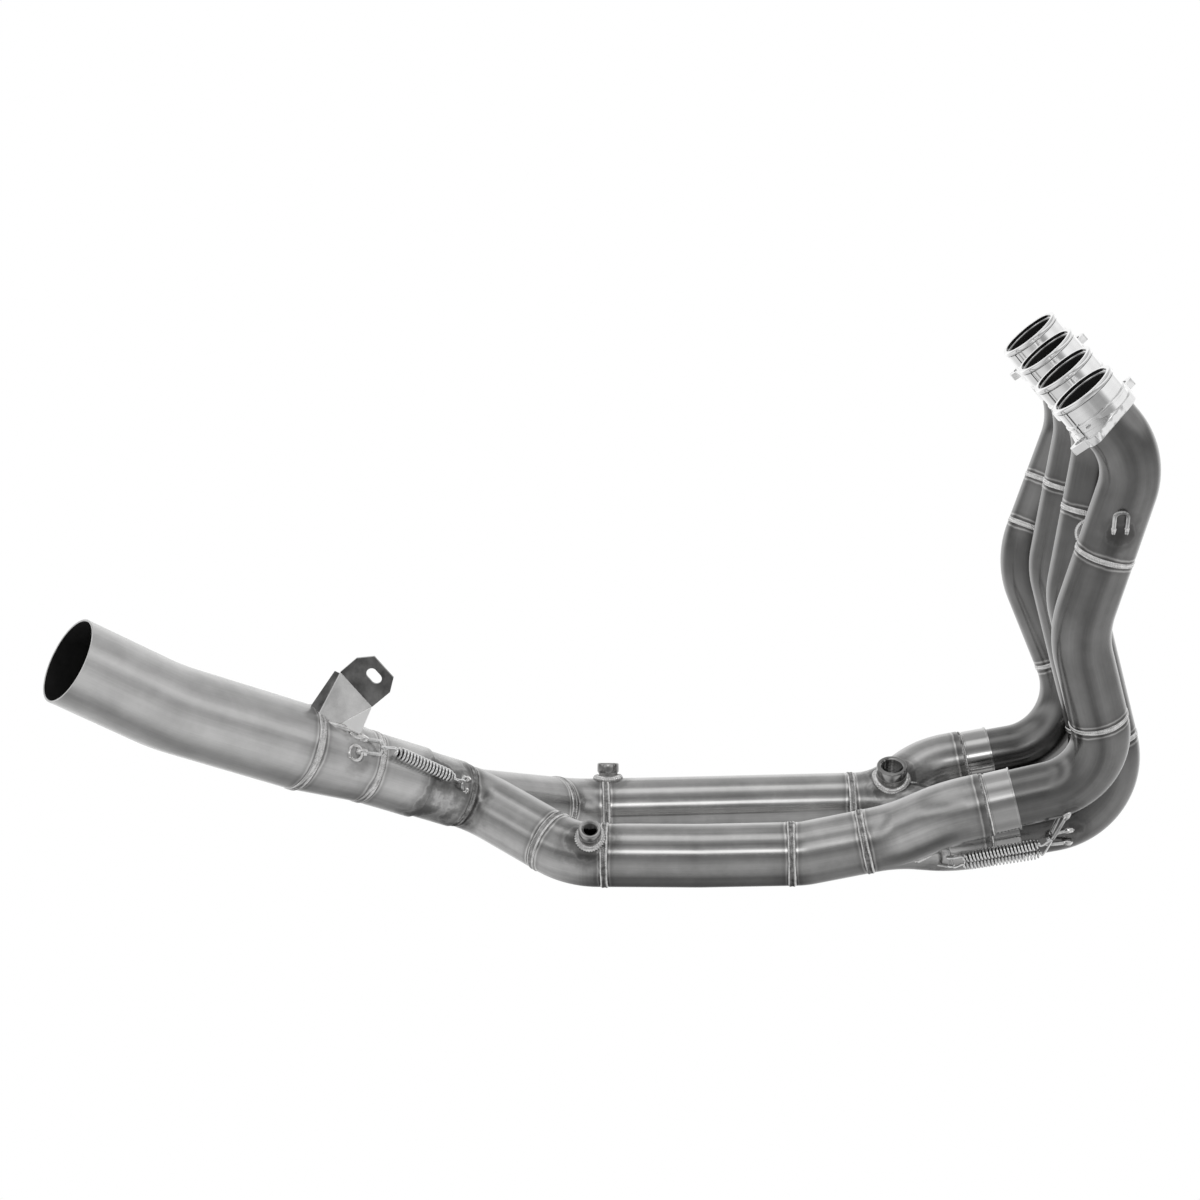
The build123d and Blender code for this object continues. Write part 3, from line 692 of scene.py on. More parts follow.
@dataclass(frozen=True)
class Finishes:
    """The finishes of the header."""

    primary: Steel = Steel("dark_primary", (0.25, 0.248, 0.246), (0.17, 0.169, 0.167), (0.16, 0.26),
                           lines=(30, 1100), heat=0.7, relief=0.05)
    tube: Steel = Steel("satin_tube", (0.60, 0.597, 0.592), (0.42, 0.418, 0.414), (0.11, 0.19),
                        lines=(30, 1300), heat=0.8, relief=0.05)
    body: Steel = Steel("satin_collector", (0.56, 0.557, 0.553), (0.38, 0.378, 0.375), (0.18, 0.27),
                        lines=(30, 1300), heat=0.8, relief=0.05)
    link: Steel = Steel("pale_link", (0.72, 0.717, 0.712), (0.53, 0.528, 0.524), (0.17, 0.27),
                        lines=(30, 1100), heat=0.8, relief=0.05, metal=0.6)
    socket: Steel = Steel("bright_socket", (0.62, 0.617, 0.612), (0.5, 0.497, 0.493), (0.08, 0.14),
                          lines=(60, 900), relief=0.03)
    # Painted shade: the inside of every tube is near black for the shade inside it.
    bore: Steel = Steel("dark_bore", (0.05, 0.049, 0.048), (0.018, 0.018, 0.018), (0.5, 0.75),
                        lines=(900, 120), relief=0.4, metal=0.7)
    machined: Steel = Steel("turned_collar", (0.95, 0.95, 0.95), (0.84, 0.84, 0.84), (0.06, 0.12),
                            lines=(5200, 12), relief=0.04)
    plate: Steel = Steel("cut_flange", (0.95, 0.95, 0.95), (0.86, 0.86, 0.86), (0.16, 0.26),
                         Grain.BLOCK, lines=(420, 420), relief=0.03)
    weld: Steel = Steel("rippled_weld", (0.95, 0.945, 0.94), (0.55, 0.545, 0.54), (0.08, 0.2),
                        Grain.BLOCK, lines=(900, 900), patches=260, relief=0.25)
    seam: Steel = Steel("dull_weld", (0.5, 0.497, 0.493), (0.1, 0.099, 0.097), (0.08, 0.2),
                        Grain.BLOCK, lines=(900, 900), patches=260, relief=0.25)
    fitting: Steel = Steel("fitting_steel", (0.52, 0.516, 0.51), (0.3, 0.298, 0.295), (0.16, 0.3),
                           Grain.BLOCK, lines=(500, 120), relief=0.06)
    boss: Steel = Steel("turned_boss", (0.5, 0.497, 0.493), (0.24, 0.238, 0.235), (0.1, 0.2),
                        lines=(2600, 20), relief=0.06)
    # Painted shade: the thread inside each boss is dark for the shade in the bore.
    thread: Steel = Steel("dark_thread", (0.16, 0.159, 0.157), (0.05, 0.05, 0.049), (0.08, 0.16),
                          lines=(2600, 20), relief=0.05)
    # Painted light: the bracket's side facet, pale and less metallic, for the light that falls on that side.
    facet: Steel = Steel("pale_sheet", (0.96, 0.957, 0.952), (0.9, 0.897, 0.892), (0.3, 0.4),
                         Grain.BLOCK, lines=(120, 40), patches=45, relief=0.06, metal=0.3)
    # Painted shade: the bracket's strip and the bracket's own nodes are dark for the shade on that side.
    ear: Steel = Steel("dark_ear", (0.3, 0.298, 0.295), (0.05, 0.05, 0.049), (0.1, 0.2),
                       Grain.BLOCK, lines=(160, 50), patches=75, relief=0.12)
    sheet: Steel = Steel("folded_sheet", (0.85, 0.845, 0.84), (0.4, 0.398, 0.395), (0.1, 0.2),
                         Grain.BLOCK, lines=(60, 20), patches=30, relief=0.1)
    # The spring wire takes painted shade between its coils.
    spring: Steel = Steel("spring_wire", (0.97, 0.97, 0.97), (0.85, 0.85, 0.85), (0.12, 0.2),
                          Grain.BLOCK, lines=(1400, 300), relief=0.04, hollows=True)
    wire: Steel = Steel("bent_wire", (0.85, 0.85, 0.845), (0.22, 0.219, 0.217), (0.07, 0.15),
                        Grain.BLOCK, lines=(1200, 300), relief=0.06)

    def materials(self) -> dict[str, bpy.types.Material]:
        """The material of each finish by its name."""
        return {finish.name: getattr(self, finish.name).material() for finish in fields(self)}


PRIMARY_R, SECONDARY_R, OUTLET_R, LINK_R = 21.2, 23.8, 25.4, 31.75
WALL, SLIP = 1.5, 0.1
SLEEVE_OUT = OUTLET_R + SLIP + WALL
PORT_TILT = np.radians(40.8)
PORT_WAY = (np.sin(PORT_TILT), 0.0, -np.cos(PORT_TILT))
PORT_ACROSS = (np.cos(PORT_TILT), 0.0, np.sin(PORT_TILT))
OUTLET_START = (-443.3, -20, -330)
LINK_CORNER = (-641, -128, -232)
OUTLET_WAY = unit(np.array(LINK_CORNER) - np.array(OUTLET_START))
STUB_LAP, CONE_START, CONE_END = 2.0, 79.0, 133.4


def along_from(start: Triple, way: Sequence[float], reach: float) -> Triple:
    """The point at a reach from a start along a way."""
    return tuple(np.array(start, dtype=float) + unit(np.array(way, dtype=float)) * reach)


def across_of(way: Sequence[float]) -> Triple:
    """A unit direction square to a way, as level as it can be."""
    return tuple(unit(np.cross(unit(np.array(way, dtype=float)), (0.0, 0.0, 1.0))))


def on_link(distance: float, angle: float, radius: float, offset: Triple = (0, 0, 0)) -> Triple:
    """A point beside the link pipe, in mm.

    Args:
        distance: Distance along the outlet's axis.
        angle: Degrees down from the top, to the viewer's side.
        radius: Distance from the axis.
        offset: Shift round the pipe, along it and outwards.

    Returns:
        The point.
    """
    axis = OUTLET_WAY
    top = unit(np.array((0, 0, 1)) - axis * axis[2])
    outward = turned_about(top, axis, np.array([np.radians(-angle)]))[0]
    place = np.array(OUTLET_START) + axis * distance + outward * radius
    return tuple(place + np.cross(axis, outward) * offset[0] + axis * offset[1] + outward * offset[2])


@dataclass(frozen=True)
class Pipe:
    """One primary's bend table, in mm.

    Attributes:
        port_y: Place of its port along the row.
        first_reach: Straight from the port to the first corner.
        elbow: The second corner.
        lower_reach: Distance of the third corner from the socket's back end.
        bends: Bend radius at each corner.
        socket: Middle of the slip socket's back end.
        socket_way: Way of the socket, towards its mouth.
        upper_weld: Distance of a weld past the first bend.
    """

    port_y: float
    first_reach: float
    elbow: Triple
    lower_reach: float
    bends: Triple
    socket: Triple
    socket_way: Triple
    upper_weld: float


PIPES = {
    1: Pipe(131.25, 68, (-0.6, 113, -178.5), 106, (61, 61, 53), (-46.5, 87, -335.5), (25.3, 1, 4.6), 72.0),
    2: Pipe(43.75, 52.5, (15.3, 46.3, -167.3), 105, (66, 51, 51), (-38, 45, -366.5), (25, 0, 4.6), 34.0),
    3: Pipe(-43.75, 52.5, (15.3, -46.3, -167.3), 105, (66, 51, 51), (-42, -46, -352), (22, 0, 4.2), 34.0),
    4: Pipe(-131.25, 64, (7.7, -116.4, -177.5), 95, (48, 73, 46), (-50, -87, -316), (22.3, -1, 5.8), 48.0)}


@dataclass(frozen=True)
class Layout:
    """All centre lines of the header and where they are cut, in mm.

    Attributes:
        near: Corners of the near secondary, from its collector back, and its bend radii.
        far: The same for the far secondary.
        socket_length: Length of a slip socket.
        insertion: How far a primary reaches into its socket.
        mouth_depth: How far a primary starts below its port's face.
        top_weld: Distance past the first bend of the weld that pipe 1 has alone.
        weld_margin: Distance from a bend's end to the weld beside it.
        leg: Straights of a collector's leg at the junction and at the socket, and its bend radius.
        elbow_reach: Straight of a rear elbow up to its corner.
        elbows: Bend radii of the near and the far rear elbow.
        rear_turn: Bend radius where they meet the outlet's axis, and its corner's distance.
        link_end: Middle of the link pipe's mouth.
        link_bend: Bend radius of the link pipe.
    """

    near: Bends = (((-134.7, -65, -351.8), (-180.4, -63, -362.2), (-256.9, -59.5, -365.4),
                    (-328, -56.5, -366.4)), (60, 300))
    far: Bends = (((-135.5, 63, -363), (-253.9, 59.5, -365.5), (-328, 56.7, -366.7)), (300,))
    socket_length: float = 22.7
    insertion: float = 18.0
    mouth_depth: float = 3.0
    top_weld: float = 34.0
    weld_margin: float = 3.0
    leg: Triple = (22.0, 26.0, 60.0)
    elbow_reach: float = 24.0
    elbows: tuple[float, float] = (62.0, 50.0)
    rear_turn: tuple[float, float] = (35.0, 22.0)
    link_end: Triple = (-703, -160, -190)
    link_bend: float = 200.0

    @cached_property
    def primary(self) -> dict[int, Centreline]:
        """Each primary, from its port to its end inside the slip joint."""
        return {number: self._primary_line(pipe) for number, pipe in PIPES.items()}

    @cached_property
    def near_tube(self) -> Centreline:
        """The near secondary with the neck of its collector."""
        return Centreline(*self.near)

    @cached_property
    def far_tube(self) -> Centreline:
        """The far secondary."""
        return Centreline(*self.far)

    @cached_property
    def near_legs(self) -> list[Centreline]:
        """The near collector's legs, to pipes 4 and 3."""
        return [self._leg_line(self.near[0], PIPES[number]) for number in (4, 3)]

    @cached_property
    def far_legs(self) -> list[Centreline]:
        """The far collector's legs, to pipes 1 and 2."""
        return [self._leg_line(self.far[0], PIPES[number]) for number in (1, 2)]

    @cached_property
    def rear(self) -> list[Centreline]:
        """The near and the far rear elbow, each with its leg of the rear collector."""
        return [self._rear_line(tube[0], radius) for tube, radius in zip((self.near, self.far), self.elbows)]

    @cached_property
    def link(self) -> Centreline:
        """The outlet stub, the sleeve, the cone and the link pipe in one line."""
        start = tuple(np.array(OUTLET_START) - OUTLET_WAY * STUB_LAP)
        return Centreline([start, LINK_CORNER, self.link_end], (self.link_bend,))

    def _primary_line(self, pipe: Pipe) -> Centreline:
        """A primary's line from its bend table."""
        port = (0.0, pipe.port_y, 0.0)
        corners = [port, along_from(port, PORT_WAY, pipe.first_reach), pipe.elbow,
                   along_from(pipe.socket, pipe.socket_way, pipe.lower_reach),
                   along_from(pipe.socket, pipe.socket_way, self.socket_length - self.insertion)]
        return Centreline(corners, pipe.bends)

    def _leg_line(self, tube: Sequence[Triple], pipe: Pipe) -> Centreline:
        """A front collector's leg, from the tube's first point to a pipe's socket."""
        start, end, radius = self.leg
        corners = [tube[0], along_from(tube[0], np.array(tube[0]) - np.array(tube[1]), start),
                   along_from(pipe.socket, pipe.socket_way, -end), pipe.socket]
        return Centreline(corners, (radius, radius))

    def _rear_line(self, tube: Sequence[Triple], radius: float) -> Centreline:
        """A rear elbow and its leg, from the tube's last point to the outlet."""
        heading = np.array(tube[-1]) - np.array(tube[-2])
        turn, back = self.rear_turn
        corners = [tube[-1], along_from(tube[-1], heading, self.elbow_reach),
                   tuple(np.array(OUTLET_START) - OUTLET_WAY * back), OUTLET_START]
        return Centreline(corners, (radius, turn))

    def primary_cuts(self, number: int) -> tuple[list[str], list[float]]:
        """Where a primary is cut.

        Args:
            number: Pipe number.

        Returns:
            Names of its lengths of tube, and the distances in metres at which they start and end.
        """
        line = self.primary[number]
        cuts = [self.mouth_depth * MM, line.after(0) + PIPES[number].upper_weld * MM,
                line.before(2) - self.weld_margin * MM, line.length]
        names = ["upper", "middle", "lower"]
        if number == 1:
            cuts.insert(1, line.after(0) + self.top_weld * MM)
            names.insert(0, "top")
        return names, cuts

    def past_bend(self, line: Centreline) -> float:
        """Distance in metres of the weld that follows a line's first bend."""
        return line.after(0) + self.weld_margin * MM

    def welds(self) -> dict[str, list[Weld]]:
        """Every ring of weld, under the node that it belongs to."""
        def ring(line: Centreline, distance: float, radius: float = SECONDARY_R) -> Weld:
            """A weld square to a line at a distance in metres."""
            spot = line.stations(distance)
            return Weld(spot.point[0], spot.heading[0], radius * MM)

        primary = [ring(self.primary[number], cut, PRIMARY_R)
                   for number in PIPES for cut in self.primary_cuts(number)[1][1:-1]]
        sockets = [Weld(np.array(pipe.socket) * MM, unit(np.array(pipe.socket_way, dtype=float)),
                        (PRIMARY_R + SLIP + WALL) * MM) for pipe in PIPES.values()]
        secondary = [ring(self.near_tube, 0), ring(self.near_tube, self.past_bend(self.near_tube)),
                     ring(self.far_tube, 0), *(ring(line, 0) for line in self.rear),
                     *(ring(line, self.past_bend(line)) for line in self.rear)]
        start, outlet_weld = np.array(OUTLET_START), STUB_LAP + 2.5
        link = [Weld((start - OUTLET_WAY * outlet_weld) * MM, OUTLET_WAY, SECONDARY_R * MM),
                Weld((start + OUTLET_WAY * CONE_START) * MM, OUTLET_WAY, SLEEVE_OUT * MM),
                ring(self.link, (CONE_END + STUB_LAP) * MM, LINK_R)]
        return {"primary_weld_beads": primary, "socket_weld_beads": sockets,
                "secondary_weld_beads": secondary, "link_weld_beads": link}


@dataclass(frozen=True)
class TubeRun:
    """A length of plain tube swept along a centre line.

    Attributes:
        name: Piece name.
        node: Node of the part that it stands for.
        line: Centre line.
        start: Distance at which it starts, in metres.
        end: Distance at which it ends, in metres.
        outer: Outside radius in mm.
        inner: Inside radius in mm.
        finish: Name of its finish.
    """

    name: str
    node: str
    line: Centreline
    start: float
    end: float
    outer: float
    inner: float
    finish: str = "tube"

    def mesh(self, columns: int = 96, spacing: float = 2.5 * MM, lip: float = 0.3 * MM) -> bpy.types.Mesh:
        """Sweeps the tube's closed profile along the line.

        The rows run out along the outside at the outer radius, over a small chamfer at the end, and
        back along the inside at the inner radius. Each row is a circle round its station.

        Args:
            columns: Points round the tube.
            spacing: Length of each row.
            lip: Size of the chamfer at each end.

        Returns:
            The mesh, with material index 1 inside.
        """
        outer, inner = self.outer * MM, self.inner * MM
        run = np.linspace(self.start + lip, self.end - lip, max(3, int((self.end - self.start) / spacing)))
        distance = np.concatenate([[self.start], run, [self.end, self.end], run[::-1], [self.start]])
        radius = np.concatenate([[outer - lip], np.full(len(run), outer), [outer - lip, inner + lip],
                                 np.full(len(run), inner), [inner + lip]])
        angle = np.arange(columns) * ROUND / columns
        points = ring_grid(self.line.stations(distance), radius, angle)
        shade = np.zeros(len(distance))
        shade[len(run) + 3:-1] = 1
        mesh = grid_mesh(self.name, points, np.append(distance, distance[0]),
                         np.append(angle, ROUND) * outer, True, shade)
        mesh.shade_smooth()
        mesh.set_sharp_from_angle(angle=SHARP)
        return mesh


@dataclass(frozen=True)
class WeldRing:
    """A bead of weld laid round a tube in overlapping ripples.

    Attributes:
        weld: Where it lies.
        width: Width in mm.
        height: Height over the tube in mm.
        ripples: Ripples per millimetre of travel.
        core: Half the share of its width, from the middle, that takes the second material.
    """

    weld: Weld
    width: float = 6.8
    height: float = 0.85
    ripples: float = 0.8
    core: float = 0.0

    def mesh(self, name: str, seed: int) -> bpy.types.Mesh:
        """Builds the bead.

        Across the bead, s runs from -1 to 1. The height is the arch, one less s squared, and on it
        two rows of drops where s is 0.55, bell shapes times a skewed sine of the travel round the
        tube plus a bow of s squared. Three slow sines make the width wander by a part in ten.

        Args:
            name: Mesh name.
            seed: Number that shifts the ripples and the wander.

        Returns:
            The mesh, closed by a row below the tube's surface.
        """
        radius = self.weld.radius
        count = int(round(self.ripples * ROUND * radius / MM))
        columns = count * 5
        angle = np.arange(columns) * ROUND / columns
        across = np.linspace(-1, 1, 15)
        phase = count * angle[None, :] + 2.2 * across[:, None] ** 2 + 1.4 * np.sign(across[:, None]) + seed
        step = (np.sin(phase) + 0.35 * np.sin(2 * phase + 0.6)) / 1.2
        drift = (np.sin(3 * angle + seed) * 0.5 + np.sin(7 * angle + 2.1 * seed) * 0.3
                 + np.sin(17 * angle + seed) * 0.2)
        arch = 1 - across[:, None] ** 2
        rows = np.exp(-(((np.abs(across[:, None]) - 0.55) / 0.24) ** 2))
        lift = self.height * MM * (0.42 * arch + rows * (0.28 + 0.24 * step)
                                   + 0.1 * arch * (step + drift[None, :]))
        lift = np.minimum(lift, self.height * MM)
        half = self.width / 2 * MM * 0.98
        shift = across[:, None] * half * (0.9 + 0.08 * drift[None, :])
        radii = radius - 0.05 * MM + lift
        radii = np.vstack([radii, np.full((1, columns), radius - 0.6 * MM)])
        shift = np.vstack([shift, np.zeros((1, columns))])
        axis = self.weld.axis
        side = unit(np.cross(axis, (0, 0, 1) if abs(axis[2]) < 0.9 else (1, 0, 0)))
        lifted = np.cross(axis, side)
        around = side * np.cos(angle)[:, None] + lifted * np.sin(angle)[:, None]
        points = self.weld.centre + around[None] * radii[..., None] + axis * shift[..., None]
        along = np.append(np.append(across, 1.4), -1) * half
        shade = np.append(np.abs(across) < self.core, False)
        mesh = grid_mesh(name, points, along, np.append(angle, ROUND) * radius, True, shade)
        mesh.shade_smooth()
        return mesh


def carried_frames(points: Array) -> Stations:
    """Carries a frame without twist along any smooth path.

    Each heading is the central difference of the points. Each side is the one before it, less its
    part along the new heading, and made a unit vector again.

    Args:
        points: Points along the path, in metres.

    Returns:
        The stations.
    """
    heading = unit(np.gradient(points, axis=0))
    first = unit(np.cross(heading[0], (0.31, 0.52, 0.79)))

    def carry(side: Array, way: Array) -> Array:
        """The side direction at the next heading."""
        return unit(side - way * np.dot(side, way))

    side = np.array(list(accumulate(heading, carry, initial=first))[1:])
    steps = np.linalg.norm(np.diff(points, axis=0), axis=1)
    return Stations(np.concatenate([[0], np.cumsum(steps)]), points, heading, side)


def wire_mesh(name: str, stations: Stations, thickness: float, columns: int = 14) -> bpy.types.Mesh:
    """A round wire with rounded ends along stations.

    The radius is constant but for the ends, where it falls to nothing as a quarter circle.

    Args:
        name: Mesh name.
        stations: The wire's line.
        thickness: Wire diameter in metres.
        columns: Points round the wire.

    Returns:
        The mesh.
    """
    radius = thickness / 2
    count = len(stations.point)
    quarter = np.linspace(0, np.pi / 2, 5)[:-1]
    grown = np.concatenate([np.sin(quarter), np.ones(count), np.sin(quarter)[::-1]]) * radius
    shift = np.concatenate([-np.cos(quarter), np.zeros(count), np.cos(quarter)[::-1]]) * radius
    index = np.concatenate([np.zeros(4, int), np.arange(count), np.full(4, count - 1)])
    point = stations.point[index] + stations.heading[index] * shift[:, None]
    spread = Stations(stations.distance[index] + shift, point, stations.heading[index], stations.side[index])
    angle = np.arange(columns) * ROUND / columns
    points = ring_grid(spread, grown, angle)
    mesh = grid_mesh(name, points, spread.distance, np.append(angle, ROUND) * radius, False)
    mend(mesh)
    mesh.shade_smooth()
    return mesh


@dataclass(frozen=True)
class CoilSpring:
    """A close-wound tension spring with an eye at each end.

    Attributes:
        name: Piece name.
        node: Node of the part that it stands for.
        ends: Middles of the first and the last coil, in mm.
        hooks: Middles of the two eyes, in mm.
        outer: Outside diameter of the coils in mm.
        wire: Wire diameter in mm.
        away: The way that the eyes' leads leave on, seen from the axis.
        turns: Number of coils.
        eye: Radius of each eye in mm.
    """

    name: str
    node: str
    ends: tuple[Triple, Triple]
    hooks: tuple[Triple, Triple]
    outer: float
    wire: float
    away: Triple
    turns: float
    eye: float = 2.8

    def path(self) -> Array:
        """The wire's line, eye to eye.

        The coils are a helix: the axis point plus the coil radius times a vector that turns evenly
        with distance. The two end coils draw in to about half the radius. Each eye is most of a
        circle about the hook, in the plane of the axis and the away direction, and a cubic curve
        joins it to the coils.

        Returns:
            Points along the wire, in metres.
        """
        first, last = (np.array(end, dtype=float) for end in self.ends)
        axis = unit(last - first)
        side = unit(np.array(self.away) - axis * np.dot(self.away, axis))
        lift = np.cross(axis, side)
        turn = np.linspace(0, ROUND * self.turns, int(self.turns * 28))[:, None]
        inset = np.clip(np.minimum(turn, turn[-1] - turn) / ROUND / 2.2, 0, 1)
        radius = (self.outer - self.wire) / 2 * (0.52 + 0.48 * np.sin(inset * np.pi / 2))
        around = side * np.cos(turn) + lift * np.sin(turn)
        coils = first + (last - first) * turn / turn[-1] + radius * around
        parts = []
        for hook, end, heading in ((self.hooks[0], coils[0], coils[0] - coils[1]),
                                   (self.hooks[1], coils[-1], coils[-1] - coils[-2])):
            spin = np.linspace(0, 1.3 * np.pi, 30)[:, None]
            centre = np.array(hook, dtype=float)
            inward = unit(end - centre)
            over = unit(side - inward * np.dot(side, inward))
            circle = centre + self.eye * (over * np.cos(spin) - inward * np.sin(spin))
            reach = np.linalg.norm(circle[0] - end)
            t = np.linspace(0, 1, 22)[1:-1, None]
            start_slope = unit(heading) * reach * 0.9
            end_slope = -inward * reach * 0.9
            lead = ((2 * t**3 - 3 * t**2 + 1) * end + (t**3 - 2 * t**2 + t) * start_slope
                    + (3 * t**2 - 2 * t**3) * circle[0] + (t**3 - t**2) * end_slope)
            parts.append(np.concatenate([lead, circle]))
        return np.concatenate([parts[0][::-1], coils, parts[1]]) * MM

    def mesh(self) -> bpy.types.Mesh:
        """Carries the wire along the path.

        Returns:
            The mesh, with attribute coil_height: each point's distance from the spring's axis over
            the coils' outside radius, and 1 beyond the coils.
        """
        mesh = wire_mesh(self.name, carried_frames(self.path()), self.wire * MM, 12)
        first, last = (np.array(end, dtype=float) * MM for end in self.ends)
        axis = unit(last - first)
        offset = points_of(mesh) - first
        along = offset @ axis
        radial = np.linalg.norm(offset - along[:, None] * axis, axis=1) / (self.outer / 2 * MM)
        inside = (along > 2 * MM) & (along < np.linalg.norm(last - first) - 2 * MM)
        height = np.where(inside, radial, 1.0)
        mesh.attributes.new("coil_height", "FLOAT", "POINT").data.foreach_set("value", height)
        return mesh


def eased(profile: Array, size: float, step: float = 2.5) -> Array:
    """Cuts the corners of a closed profile and splits its long edges.

    Args:
        profile: Corners of the profile, in mm.
        size: How far each corner is cut back, in mm.
        step: Length of the steps along an edge, in mm.

    Returns:
        The points of the new profile.
    """
    back = unit(np.roll(profile, 1, axis=0) - profile)
    ahead = unit(np.roll(profile, -1, axis=0) - profile)
    cut = np.stack([profile + back * size, profile + ahead * size], axis=1).reshape(-1, 2)
    edges = [np.linspace(first, last, max(1, int(np.linalg.norm(last - first) / step)), endpoint=False)
             for first, last in zip(cut, np.roll(cut, -1, axis=0))]
    return np.concatenate(edges)


@dataclass(frozen=True)
class TurnedArc:
    """A ring, or part of one, turned about an axis.

    Attributes:
        origin: Point on the axis at height 0, in mm.
        axis: Way of the axis.
        across: Way of angle 0.
        profile: Closed outline of (radius, height) in mm, inside edge first, anticlockwise.
        first: First angle in degrees.
        sweep: Angle covered in degrees, 360 for a whole ring.
        ease: Size of the cut on each corner in mm.
    """

    origin: Triple
    axis: Triple
    across: Triple
    profile: Outline
    first: float = 0.0
    sweep: float = 360.0
    ease: float = 0.18

    def mesh(self, name: str) -> bpy.types.Mesh:
        """Turns the profile about the axis.

        Each point is the origin plus the axis times the height plus the radius times across times
        the cosine and upright times the sine. A part ring is closed by its profile at both ends.

        Args:
            name: Mesh name.

        Returns:
            The mesh.
        """
        whole = self.sweep >= 360
        outline = eased(np.array(self.profile, dtype=float), self.ease) * MM
        steps = max(4, int(self.sweep / 2.5))
        angle = np.radians(self.first) + np.linspace(0, np.radians(self.sweep), steps + 1)
        if whole:
            angle = angle[:-1]
        axis, across = unit(np.array(self.axis)), unit(np.array(self.across))
        upright = np.cross(axis, across)
        around = across * np.cos(angle)[:, None] + upright * np.sin(angle)[:, None]
        radial, level = around[None] * outline[:, None, :1], axis * outline[:, None, 1:]
        points = np.array(self.origin) * MM + radial + level
        height = np.append(outline[:, 1] + outline[:, 0], outline[0].sum())
        turn = np.append(angle, angle[0] + ROUND) * outline[:, 0].max()
        mesh = grid_mesh(name, points, height, turn, True)
        work = bmesh.new()
        work.from_mesh(mesh)
        if not whole:
            count = len(angle)
            work.verts.ensure_lookup_table()
            work.faces.ensure_lookup_table()
            bridge = [face for face in work.faces
                      if {vert.index % count for vert in face.verts} == {0, count - 1}]
            bmesh.ops.delete(work, geom=bridge, context="FACES")
            bmesh.ops.holes_fill(work, edges=[edge for edge in work.edges if edge.is_boundary], sides=0)
        bmesh.ops.recalc_face_normals(work, faces=work.faces)
        work.to_mesh(mesh)
        work.free()
        mesh.shade_smooth()
        mesh.set_sharp_from_angle(angle=np.radians(28))
        return mesh


@dataclass(frozen=True)
class WireLoop:
    """A U of wire with a puddle of weld at each foot.

    Attributes:
        name: Piece name.
        points: Foot, two corners and foot, in mm.
        bend: Bend radius in mm.
        wire: Wire diameter in mm.
        puddle: Radius of each puddle in mm.
    """

    name: str
    points: Sequence[Triple]
    bend: float = 3.6
    wire: float = 3.0
    puddle: float = 3.4

    def meshes(self) -> tuple[bpy.types.Mesh, bpy.types.Mesh]:
        """Bends the wire and lays a puddle at each foot.

        Returns:
            The wire, and the two puddles in one mesh.
        """
        line = Centreline(self.points, (self.bend,) * (len(self.points) - 2))
        stations = line.stations(np.linspace(0, line.length, 60))
        wire = wire_mesh(self.name, stations, self.wire * MM, 16)
        corners = np.array(self.points, dtype=float) * MM
        puddles = []
        for index, (foot, corner) in enumerate(((corners[0], corners[1]), (corners[-1], corners[-2]))):
            middle = foot * 0.82 + corner * 0.18
            puddles.append(puddle_mesh(f"{self.name}_{index}", middle, unit(corner - foot), self.puddle * MM,
                                       index + 1.7))
        return wire, joined_mesh(self.name + "_feet", puddles)


def puddle_mesh(name: str, centre: Array, way: Array, radius: float, seed: float) -> bpy.types.Mesh:
    """A lump of weld, longer along its way.

    A sphere stretched by 1.35 along the way and 0.75 across, its radius times one plus 0.07 times
    a sine of five turns round it and 0.05 times a sine of the angle down it.

    Args:
        name: Mesh name.
        centre: Middle in metres.
        way: Unit direction of its long axis.
        radius: Radius in metres.
        seed: Number that shifts the lumps.

    Returns:
        The mesh.
    """
    down = np.linspace(0, np.pi, 17)[:, None]
    angle = (np.arange(28) * ROUND / 28)[None, :]
    lump = 1 + 0.07 * np.sin(5 * angle + seed + 3 * down) * np.sin(down) + 0.05 * np.sin(9 * down + seed)
    side = unit(np.cross(way, (0.2, 0.9, 0.3)))
    lift = np.cross(way, side)
    points = centre + radius * lump[..., None] * (
        way * 1.35 * np.cos(down)[..., None] + side * 0.75 * (np.sin(down) * np.cos(angle))[..., None]
        + lift * 0.75 * (np.sin(down) * np.sin(angle))[..., None])
    points[0] = points[0].mean(axis=0)
    points[-1] = points[-1].mean(axis=0)
    mesh = grid_mesh(name, points, down[:, 0] * radius, np.append(angle[0], ROUND) * radius, False)
    mend(mesh, outward=True)
    mesh.shade_smooth()
    return mesh


